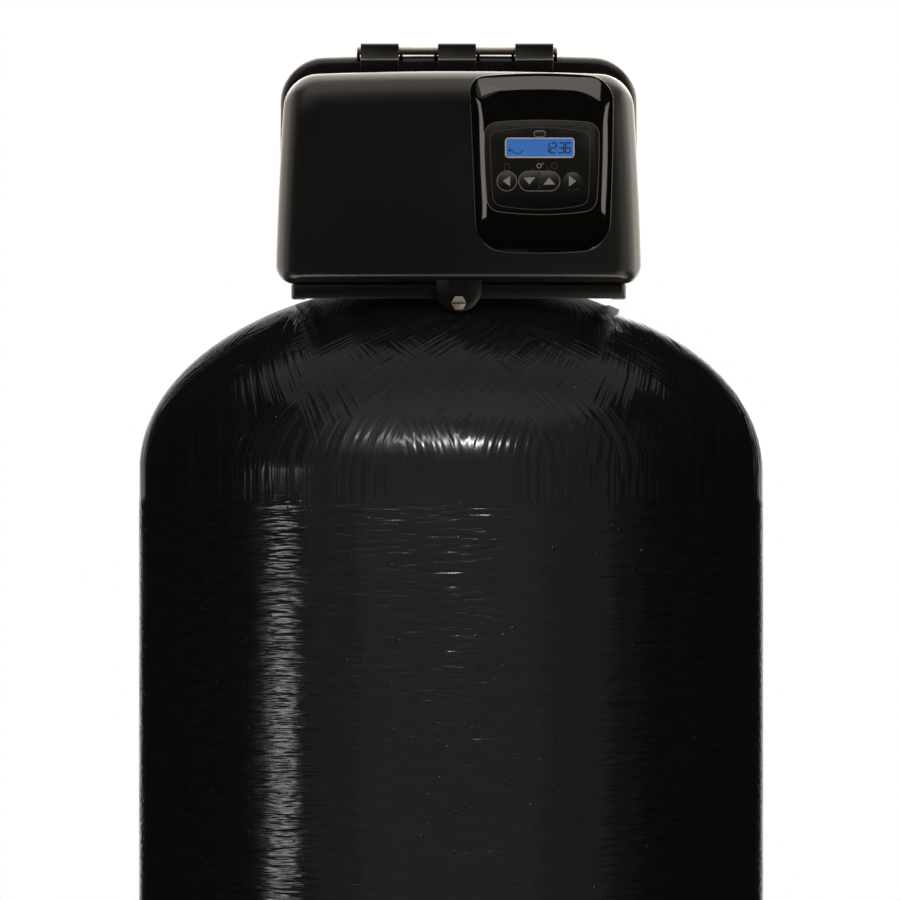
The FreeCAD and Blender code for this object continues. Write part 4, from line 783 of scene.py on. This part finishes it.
rod_half = 65.7
rod = round_bar("hinge_pin", rod_radius, hinge_shift - rod_half, hinge_shift + rod_half, "x",
                hinge_y, hinge_z)
eased(rod, 0.5, 3)
satin = Finish("satin_steel", base_color=(0.42, 0.39, 0.34, 1), metallic=1.0, roughness=0.5)
sx, sy, sz = satin.parts(satin.places())
satin_lines = satin.noise(satin.vector(sx * 900, sy * 60, sz * 60), 1.0)
satin.uneven(satin_lines, 0.45, 0.56)
satin.relief(satin_lines, 0.00002)
on_head(rod, "filter", satin, ["hinge_rod"])

# Ear: a half-round tab moulded under the front cover, with a channel down to its screw. The
# hex screw is slotted steel and stays captive in the ear.

ear_half = 14.8
ear_front = -124
ear_thick = 5.2
ear_low = -30.2
channel_deep = 0.6
screw_z = -24.4
screw_hole = 2.4
hex_radius = 5.1
slot_half = 0.6
slot_deep = 2
shank_radius = 1.95
shank_long = 12.8
channel_half = 6.4


def flat_form(name, spots, front, back, rounding=0.0):
    """A flat form cut from an outline of (x, z) points, its front edge eased."""
    return eased(lofted(name, [ring(spots, front), ring(spots, back)]), rounding)


def round_spots(x, z, radius, count=40, start=0.0, sweep=360.0):
    """Points round a circle or along a part of it, without the last one."""
    return arc((x, z), radius, start, start + sweep, count)[:-1]


tab = round_spots(0, ear_low + ear_half, ear_half, 40, 180, 184) + [(ear_half, -9), (-ear_half, -9)]
ear = flat_form("cover_ear", tab, ear_front, ear_front + ear_thick, 0.5)
cut(ear, slab("channel", -channel_half, channel_half, ear_front - 1, ear_front + channel_deep,
              screw_z + 1, 0))
cut(ear, round_bar("screw_hole", screw_hole, ear_front - 1, ear_front + 8, "y", 0, screw_z))
on_head(ear, "cover", moulded, smooth=40)

screw_front = ear_front - 3.5
head_spots = round_spots(0, screw_z, hex_radius, 6)
screw_head = flat_form("cover_hex_screw", head_spots, screw_front, ear_front + 1, 0.45)
cut(screw_head, slab("slot", -hex_radius - 1, hex_radius + 1, screw_front - 1,
                     screw_front + slot_deep, screw_z - slot_half, screw_z + slot_half))
shank = round_bar("shank", shank_radius, ear_front, ear_front + shank_long, "y", 0, screw_z, 24)
eased(shank, 0.5)
screw = joined("cover_hex_screw", [screw_head, shank])
on_head(screw, "cover", satin, ["cover_screw"])

# Head tray: the moulded rail and web under both covers. The front bar carries the lug that
# the ear's screw enters, and the tank's neck comes up through the wide hole.

tray_half = 109.7
tray_front = -117.5
tray_back = 80
tray_low = -21.4
tray_top = -12
tray_bar = 9
tray_rail = 13
tray_web = 2.1
tray_hole = 66
lug_half = 9
lug_low = -28.2
lug_thick = 4


def upright(name, spots, low, high, rounding=0.0):
    """A form cut from a plan of (x, y) points, standing between two heights."""
    ends = [[Vector((x, y, z)) for x, y in spots] for z in (low, high)]
    return eased(lofted(name, ends), rounding)


def plan(half, front, back, front_radius, back_radius):
    """A plain rounded plan, the same on both sides of the middle."""
    corners = [(-half, front, front_radius), (half, front, front_radius),
               (half, back, back_radius), (-half, back, back_radius)]
    return outline(corners, (0, 0, 0, 0), 6, 6)


tray_plan = plan(tray_half, tray_front, tray_back, 4, 3)
inner_plan = plan(tray_half - tray_bar, tray_front + tray_rail, tray_back + tray_bar, 3, 3)
bars = upright("head_tray_moulding", tray_plan, tray_low, tray_top, 0.8)
cut(bars, upright("inside", inner_plan, tray_low - 1, tray_top - tray_web))
neck_gap = upright("neck_gap", round_spots(-head_x, 0, tray_hole, 96), tray_low - 2, tray_top + 2)
cut(bars, neck_gap)
lug_spots = round_spots(0, lug_low + lug_half, lug_half, 24, 180, 188)
lug_spots += [(lug_half, tray_low + 2), (-lug_half, tray_low + 2)]
lug = flat_form("lug", lug_spots, tray_front, tray_front + lug_thick, 0.4)
lug_back = tray_front + lug_thick + 2
cut(lug, round_bar("lug_hole", screw_hole, tray_front - 1, lug_back, "y", 0, screw_z))
tray = joined("head_tray_moulding", [bars, lug])
on_head(tray, "filter", moulded, ["head_tray"], smooth=40)

# Console bezel: a convex shield of polished black plastic pressed onto the front cover. It
# has a recess for the keypad film and openings for the windows and the button caps.

bezel_corners = [(11.7, 11.5, 17), (98.2, 11.5, 17), (100.9, 122.9, 15), (7, 123.2, 9)]
bezel_bow = (3.2, 0.9, 2.9, 0)
flank_hollow = (1.5, 2.6, 0.4, 3.2)
flank_top = 1.35
bezel_front = -134.4
bezel_sink = 0.9
bezel_slope = [(0, -128.6), (0.35, -129.3), (1, -130.1), (2.5, -131.5), (4, -132.65),
               (5.5, -133.55), (6.8, -134.1), (7.8, -134.35), (8.4, bezel_front)]
recess_corners = [(19.2, 37, 7), (89.7, 37, 7), (91.5, 93, 7), (17.2, 93, 7)]
recess_bow = (3.3, 0.8, 2, 0.8)
recess_floor = -133.2
bead_radius = 0.42
bead_rise = 0.55
panel_front = -134.15
window = (53, 77.2, 22.4, 6.3)
pill = (53, 86.4, 3.5, 1.7)
pill_round = 1.6
button_z = 55.4
button_radius = 5.9
button_fit = 0.3
back_x = 31.5
pair_x = 52.7
pair_half = 13
next_x = 74.5
pair = (pair_x, button_z, pair_half, button_radius)


def drawn_in(corners, bow, inset, widening=0.0, top=1.0):
    """A console outline, drawn in all round by an inset. Widening makes its corners rounder."""
    signs = [(1, 1), (-1, 1), (-1, -top), (1, -top)]
    moved = [
        (x + inset * across, z + inset * up, max(radius - inset + inset * widening, 1))
        for (x, z, radius), (across, up) in zip(corners, signs)
    ]
    return outline(moved, bow, 8, 12)


def window_spots(opening, margin=0.0, radius=2.0):
    """The rounded outline of a window, widened by a margin."""
    x, z, half_x, half_z = opening
    across = half_x + margin
    up = half_z + margin
    radius = min(radius + margin, up - 0.05)
    return outline([(x - across, z - up, radius), (x + across, z - up, radius),
                    (x + across, z + up, radius), (x - across, z + up, radius)], (0, 0, 0, 0), 5, 4)


def console_tools(margin, front, back):
    """Bars that cut the windows and the buttons' holes, widened by a margin."""
    shapes = [window_spots(window, margin), window_spots(pill, margin, pill_round),
              window_spots(pair, margin, button_radius),
              round_spots(back_x, button_z, button_radius + margin),
              round_spots(next_x, button_z, button_radius + margin)]
    return [flat_form("opening", shape, front, back) for shape in shapes]


def cover_depth(x, z):
    """How far back the front cover's rounded edge lies at a place, along y."""
    top_share = min(max((z - (cover_high + cover_crown - edge_inset[1])) / edge_inset[1], 0), 1)
    side_share = min(max((x - (cover_half[1] - edge_inset[0])) / edge_inset[0], 0), 1)
    fall = 1 - math.sqrt(1 - max(top_share, side_share) ** 2)
    return cover_face + edge_depth * fall


bezel_foot = drawn_in(bezel_corners, bezel_bow, 0)
bezel_rings = [[Vector((x, cover_depth(x, z) + bezel_sink, z)) for x, z in bezel_foot]]
for inset, y in bezel_slope:
    share = inset / bezel_slope[-1][0]
    bow = [side - share * hollow for side, hollow in zip(bezel_bow, flank_hollow)]
    bezel_rings.append(ring(drawn_in(bezel_corners, bow, inset, 1.7, flank_top), y))
bezel = lofted("console_bezel_moulding", bezel_rings)
recess_edge = drawn_in(recess_corners, recess_bow, 0)
cut(bezel, flat_form("recess", recess_edge, bezel_front - 1, recess_floor),
    *console_tools(button_fit, bezel_front - 1, cover_face + 16))
polished = Finish("polished_black", roughness=0.07)
polished.clouded(12.0, (0.0026, 0.0025, 0.0023), (0.0034, 0.0032, 0.003))
polished.uneven(polished.noise(polished.places(), 90.0), 0.05, 0.1)
on_console(bezel, "cover", polished, ["console_bezel"])

# Keypad film: a thin matte film stuck into the bezel's recess, with its border, the rings round
# the buttons and small symbols printed on it in warm grey.

film_edge = drawn_in(recess_corners, recess_bow, 0.3)
panel = flat_form("keypad_film", film_edge, panel_front, recess_floor + 0.02, 0.15)
cut(panel, *console_tools(button_fit, panel_front - 1, recess_floor + 1))
film = Finish("keypad_film_black", roughness=0.4, specular_ior_level=0.25)
film.clouded(20.0, (0.0016, 0.0015, 0.0014), (0.0024, 0.0023, 0.0021))
film.relief(film.noise(film.places(), 3000.0), 0.00001, 0.5)
on_console(panel, "cover", film, ["console_panel"])

print_front = -134.32
print_back = panel_front + 0.05


def band(name, outer, inner, front=print_front, back=print_back):
    """A flat band between two outlines with as many points."""
    rings = [ring(outer, front), ring(inner, front), ring(inner, back), ring(outer, back)]
    return lofted(name, rings, closed=True)


bead_rings = []
for step in range(8):
    angle = 2 * math.pi * step / 8
    path = drawn_in(bezel_corners, bezel_bow, bead_radius * math.cos(angle), 0.2)
    bead_rings.append([
        Vector((x, cover_depth(x, z) - bead_rise - bead_radius * math.sin(angle), z))
        for x, z in path
    ])
bead = lofted("bezel_bead", bead_rings, closed=True)
on_head(bead, "cover", polished, smooth=60)
bezel_lit.objects.link(bead)


def stroke(name, start, end, width, front=print_front, back=print_back):
    """A straight printed line with cut ends, from one (x, z) point to another."""
    first = Vector(start)
    last = Vector(end)
    along = (last - first).normalized() * (width / 2)
    side = Vector((-along.y, along.x))
    spots = [first - along, first + side, last + side, last + along, last - side, first - side]
    return flat_form(name, [tuple(spot) for spot in reversed(spots)], front, back)


def ring_band(name, x, z, radius, width):
    return band(name, round_spots(x, z, radius), round_spots(x, z, radius - width))


def window_band(name, opening, outer, inner, radius=2.0, inner_radius=None):
    """A flat band round a window, between two margins."""
    inside = window_spots(opening, inner, inner_radius or radius)
    return band(name, window_spots(opening, outer, radius), inside)


def print_and_highlight_paint(name, colour, roughness=0.5):
    """A flat colour with a little unevenness in it. Most are printed inks; the recess's edge has a
    painted highlight.
    """
    ink = Finish(name, roughness=roughness)
    darker = tuple(channel * 0.85 for channel in colour)
    return ink.clouded(400.0, darker, colour)


inner_corners = [(22.5, 40.4, 5), (84.6, 40.4, 5), (86.1, 87.4, 4), (20.2, 87.4, 4)]
inner_bow = (3.8, 0.5, 3.3, 0.5)
# Painted highlight: a pale band on the bezel's face round the recess's edge, in place of the light
# that the edge's small bevel catches.
recess_highlight_band = band("recess_painted_highlight", drawn_in(recess_corners, recess_bow, -0.45), recess_edge,
                 bezel_front - 0.06, bezel_front + 0.3)
symbol_z = 65.4
page = (31.4, 64.6, 1.4, 1.9)
faint = [
    band("film_border", drawn_in(inner_corners, inner_bow, 0),
         drawn_in(inner_corners, inner_bow, 0.4)),
    ring_band("timer_symbol", 62.5, symbol_z, 2.1, 0.4),
    window_band("page_symbol", page, 0.35, 0, 0.4, 0.05),
]
faint += [stroke("link", (x, 62.2), (x, 64.4), 0.35) for x in (48.5, 58)]
dim_ink = print_and_highlight_paint("dim_grey_ink", (0.04, 0.036, 0.032))
on_console(joined("film_faint_lines", faint), "cover", dim_ink, smooth=0)
# The recess band's colour is a painted highlight, lighter than the polished black round it.
recess_highlight_paint = print_and_highlight_paint("painted_recess_highlight", (0.085, 0.075, 0.066))
on_console(recess_highlight_band, "cover", recess_highlight_paint, smooth=0)
clear_lines = [
    ring_band("back_ring", back_x, button_z, button_radius + button_fit + 0.5, 0.48),
    window_band("pair_ring", pair, button_fit + 0.5, button_fit + 0.02, button_radius),
    ring_band("settings_symbol", 52.6, symbol_z, 1.75, 0.75),
    stroke("settings_tick", (54, 66.4), (55.6, 67), 0.7),
    window_band("pill_ring", pill, 0.5, 0.02, pill_round),
]
clear_ink = print_and_highlight_paint("warm_grey_ink", (0.15, 0.132, 0.115))
on_console(joined("film_clear_lines", clear_lines), "cover", clear_ink, smooth=0)

# Windows: a clear window with a pale frame over the display, and a smoked pill over the
# indicator lamp. Behind the first one stands the blue liquid crystal glass of the module.

lens = flat_form("display_window", window_spots(window), panel_front, recess_floor, 0.1)
clear = Finish("clear_window", base_color=(0.05, 0.06, 0.08, 1), roughness=0.04, alpha=0.08)
clear.uneven(clear.noise(clear.places(), 60.0), 0.03, 0.08)
on_head(lens, "cover", clear, ["display_lens"])
frame_ring = window_band("display_frame", window, 0.35, -0.5, 2.0, 1.5)
pale_ink = print_and_highlight_paint("pale_frame_ink", (0.42, 0.42, 0.46))
on_console(frame_ring, "cover", pale_ink, smooth=0)
pill_spots = window_spots(pill, 0, pill_round)
smoked_pill = flat_form("indicator_pill", pill_spots, panel_front, recess_floor, 0.1)
smoked = Finish("smoked_window", roughness=0.2)
smoked.clouded(300.0, (0.012, 0.011, 0.01), (0.02, 0.018, 0.017))
on_console(smoked_pill, "cover", smoked, ["indicator_window"])

glass_front = -124.7
glass_thick = 0.7
glass_spots = window_spots((53, 77.2, 23.2, 7), 0, 0.5)
crystal = flat_form("display_glass", glass_spots, glass_front, glass_front + glass_thick, 0.1)
backlit = Finish(
    "backlit_blue", base_color=(0.01, 0.02, 0.05, 1), roughness=0.25, emission_strength=1.0
)
glow = backlit.noise(backlit.places(), 60.0)
blues = (0.028, 0.13, 0.415, 1), (0.033, 0.145, 0.45, 1)
backlit.feed("Emission Color", backlit.blend(glow, *blues))
on_head(crystal, "filter", backlit)

digit_high = 6.6
digit_wide = 3.3
digit_gap = 1.15
digit_lean = 0.1
digit_right = 73.4
colon_room = 0.9
colon_shift = 1.4
digit_low = 73.9
digit_width = 0.75
segments = {
    "a": ((0, 2), (1, 2)), "b": ((1, 1), (1, 2)), "c": ((1, 0), (1, 1)), "d": ((0, 0), (1, 0)),
    "e": ((0, 0), (0, 1)), "f": ((0, 1), (0, 2)), "g": ((0, 1), (1, 1)),
}
lit_segments = {"1": "bc", "2": "abged", "3": "abgcd", "6": "afgedc"}


mark_front = glass_front - 0.05
mark_back = glass_front + 0.1


def display_stroke(start, end, width=digit_width):
    return stroke("segment", start, end, width, mark_front, mark_back)


def digit(symbol, left):
    """One seven-segment digit's strokes."""
    strokes = []
    for segment in lit_segments[symbol]:
        ends = []
        for across, up in segments[segment]:
            rise = up * digit_high / 2
            ends.append((left + across * digit_wide + rise * digit_lean, digit_low + rise))
        middle = ((ends[0][0] + ends[1][0]) / 2, (ends[0][1] + ends[1][1]) / 2)
        eased = [tuple(m + (e - m) * 0.8 for e, m in zip(end, middle)) for end in ends]
        strokes.append(display_stroke(*eased))
    return strokes


marks = []
left = digit_right - 4 * digit_wide - 3 * digit_gap - colon_shift
for place, symbol in enumerate("1236"):
    if place == 2:
        for up in (0.3, 0.7):
            dot_z = digit_low + digit_high * up
            marks.append(display_stroke((left - 0.2, dot_z - 0.2), (left - 0.2, dot_z + 0.2), 0.7))
        left += colon_room
    marks += digit(symbol, left)
    left += digit_wide + digit_gap
arrow = [(32.2, 75.6), (34, 76.9), (34, 74.3)]
marks.append(flat_form("flow_arrow", arrow, mark_front, mark_back))
wave = [(34.6, 75.4), (36, 74.2), (37.8, 73.4), (39.6, 73.6), (41, 74.6), (42, 75.8)]
marks += [display_stroke(start, end, 0.5) for start, end in zip(wave, wave[1:])]
navy = print_and_highlight_paint("dark_crystal", (0.006, 0.012, 0.04), 0.3)
on_head(joined("display_marks", marks), "filter", navy, smooth=0)

# Buttons: moulded black caps that stand in the film's openings and press in a millimetre. Each
# cap has its arrow printed on it, and its stem reaches the board's switch.

cap_front = -134.4
cap_back = -126.6
stem_radius = 2.4
stem_back = -119.2
button_ink = print_and_highlight_paint("button_ink", (0.24, 0.21, 0.18))
button_black = Finish("button_black", roughness=0.38)
button_black.clouded(30.0, (0.003, 0.0029, 0.0027), (0.004, 0.0038, 0.0036))


def half_cap(sign):
    """The outline of one half of the paired buttons."""
    inner = pair_x + sign * 0.2
    outer = pair_x + sign * (pair_half - button_radius)
    start = 90 if sign < 0 else -90
    end_round = round_spots(outer, button_z, button_radius, 20, start, 189)
    rise = sign * button_radius
    return end_round + [(inner, button_z + rise), (inner, button_z - rise)]


def triangle(x, z, half_width, half_height, facing):
    """An arrow's outline: it faces left, right, up or down."""
    shapes = {
        "left": [(-half_width, 0), (half_width, -half_height), (half_width, half_height)],
        "right": [(-half_width, -half_height), (half_width, 0), (-half_width, half_height)],
        "up": [(-half_width, -half_height), (half_width, -half_height), (0, half_height)],
        "down": [(-half_width, half_height), (0, -half_height), (half_width, half_height)],
    }
    return [(x + across, z + up) for across, up in shapes[facing]]


down_x = pair_x - pair_half / 2
up_x = pair_x + pair_half / 2
back_spots = round_spots(back_x, button_z, button_radius, 48)
next_spots = round_spots(next_x, button_z, button_radius, 48)
caps = {
    "button_back": (back_spots, back_x, triangle(back_x - 0.2, button_z, 2.4, 3.5, "left")),
    "button_down": (half_cap(-1), down_x, triangle(down_x, button_z + 0.1, 3.8, 2.3, "down")),
    "button_up": (half_cap(1), up_x, triangle(up_x, button_z, 3.9, 2.3, "up")),
    "button_next": (next_spots, next_x, triangle(next_x, button_z, 2.4, 3.5, "right")),
}
for name, (shape, x, arrow) in caps.items():
    cap = flat_form(f"{name}_cap", shape, cap_front, cap_back, 0.3)
    stem = round_bar("stem", stem_radius, cap_back - 0.5, stem_back, "y", x, button_z, 24)
    cap = joined(f"{name}_cap", [cap, stem])
    on_console(cap, name, button_black, [name], smooth=40)
    legend = flat_form(f"{name}_arrow", arrow, cap_front - 0.06, cap_front + 0.2)
    on_console(legend, name, button_ink, smooth=0)

# Inside of the tank: a blow-moulded liner holds a bed of washed gravel, and on it the granular
# carbon. White moulded plastic makes the riser tube and the slotted strainers at its ends.


def grained(name, dark, light, cloud_scale, rough, grain_scale, grain_depth):
    """A finish with clouds in its colour and its roughness, and a fine grain in its surface."""
    finish = Finish(name)
    spot = finish.places()
    cloud = finish.noise(spot, cloud_scale, 3.0)
    finish.shaded(finish.fit(cloud, 0.3, 0.7), dark, light)
    finish.uneven(cloud, *rough)
    finish.relief(finish.noise(spot, grain_scale), grain_depth)
    return finish


def granular(name, dark, light, grain_size, grain_depth, rough):
    """Loose grains: each has its own shade, and stands out from the gaps round it."""
    finish = Finish(name, roughness=rough)
    spot = finish.places()
    cells = {"Vector": spot, "Scale": 1 / grain_size}
    distance = finish.add("ShaderNodeTexVoronoi", {"feature": "DISTANCE_TO_EDGE"}, cells)
    shade = finish.parts(finish.add("ShaderNodeTexVoronoi", {"feature": "F1"}, cells, output=1))[0]
    finish.shaded(shade, dark, light)
    finish.relief(finish.fit(distance, 0.0, 0.35), grain_depth)
    return finish


natural = grained(
    "liner_polyethylene", (0.62, 0.62, 0.58), (0.74, 0.74, 0.7), 6, (0.4, 0.55), 900, 0.00006
)
recoat(natural, "tank_liner")
gravel = granular("washed_gravel", (0.2, 0.17, 0.13), (0.62, 0.57, 0.49), 0.005, 0.0012, 0.6)
recoat(gravel, "gravel_bed")
carbon = granular("carbon_grains", (0.006, 0.006, 0.006), (0.03, 0.03, 0.032), 0.0016, 0.0005, 0.45)
recoat(carbon, "carbon_bed")
white_plastic = grained(
    "white_moulded", (0.7, 0.7, 0.67), (0.8, 0.8, 0.77), 14, (0.35, 0.45), 2200, 0.00002
)
recoat(white_plastic, "riser_tube", "lower_distributor", "upper_diffuser")

# Foot and neck: the foot is a rubberlike black moulding that the tank's round end is set in, and
# the threaded neck insert is glass-filled plastic, bonded into the liner.

foot_plastic = grained(
    "foot_moulding", (0.008, 0.008, 0.0085), (0.014, 0.014, 0.0145), 11, (0.5, 0.62), 1100, 0.00012
)
recoat(foot_plastic, "tank_foot")
glass_filled = grained(
    "glass_filled_black", (0.009, 0.009, 0.0095), (0.02, 0.02, 0.021), 160, (0.45, 0.6), 1500, 0.00005
)
recoat(glass_filled, "tank_neck")
seal_rubber = grained(
    "seal_rubber", (0.008, 0.008, 0.008), (0.014, 0.014, 0.014), 60, (0.6, 0.72), 3000, 0.00002
)
recoat(seal_rubber, "neck_seal", "flow_washer", "inlet_washer", "outlet_washer")

# Valve: a glass-filled plastic body with a stack of white spacers, in which the coated piston
# slides to send the water through the carbon, back up through it, or to the drain.

recoat(glass_filled, "valve_body", "drive_cap", "drive_bracket", "injector_cap", "drain_elbow")
recoat(white_plastic, "seal_stack", "drain_clip", "gear_cover")
piston_coat = grained(
    "piston_coating", (0.6, 0.55, 0.44), (0.72, 0.67, 0.56), 40, (0.22, 0.32), 1800, 0.00001
)
recoat(piston_coat, "piston", "piston_rod")

# Drive: a small direct-current motor in a plated steel can turns the piston's rod through natural
# acetal gears. Its screws, and those that hold the valve and the board, are plated steel too.

acetal = grained(
    "natural_acetal", (0.74, 0.73, 0.68), (0.84, 0.83, 0.79), 25, (0.28, 0.38), 2600, 0.000015
)
recoat(acetal, "main_drive_gear", "reduction_gear_1", "reduction_gear_2", "motor_pinion")
plated = Finish("plated_can", base_color=(0.6, 0.6, 0.6, 1), metallic=1.0)
can_x, can_y, can_z = plated.parts(plated.places())
drawn_lines = plated.noise(plated.vector(can_x * 900, can_y * 60, can_z * 900), 1.0)
plated.uneven(drawn_lines, 0.22, 0.4)
plated.clouded(50.0, (0.5, 0.5, 0.5), (0.64, 0.64, 0.63))
plated.relief(drawn_lines, 0.00002)
recoat(plated, "drive_motor", "bracket_screws", "gear_cover_screws", "valve_screws", "board_screws")

# Circuit board: glass-epoxy sheet under green resist, with its copper tracks showing through as
# lighter lines. The display module clips to it, in a black frame.

resist = Finish("green_resist", roughness=0.35)
resist_spot = resist.places()
track_x, _, track_z = resist.parts(resist_spot)
track_bend = resist.noise(resist_spot, 45.0, 0.0) * 0.012
tracks = resist.add("ShaderNodeTexBrick", {"offset": 0.37, "squash": 1.0}, {
    "Vector": resist.vector(track_x + track_bend, track_z + track_bend, 0.0), "Scale": 1.0,
    "Mortar Size": 0.0006, "Brick Width": 0.013, "Row Height": 0.0035}, output=1)
resist.shaded(tracks, (0.006, 0.06, 0.022), (0.02, 0.13, 0.05))
resist.relief(tracks, 0.00005)
recoat(resist, "circuit_board")
module_black = grained(
    "module_frame", (0.008, 0.008, 0.009), (0.014, 0.014, 0.015), 90, (0.38, 0.5), 2600, 0.00002
)
recoat(module_black, "display_module")

# Pipe side: two grey pressure-pipe sockets leave the valve at the back, each pulled onto its
# port by a ribbed union nut of black plastic.

grey_pipe = grained(
    "grey_pipe_plastic", (0.05, 0.051, 0.054), (0.07, 0.071, 0.075), 18, (0.3, 0.42), 1600, 0.00003
)
recoat(grey_pipe, "inlet_fitting", "outlet_fitting")
recoat(glass_filled, "inlet_nut", "outlet_nut")

# Reflections: the dome's resin is too dull to mirror the front cover's sharp outline, so the
# cover and what it carries stay out of mirrored rays, and the dome shows the lamps there.

for piece in (cover, ear, screw, bezel):
    piece.visible_glossy = False
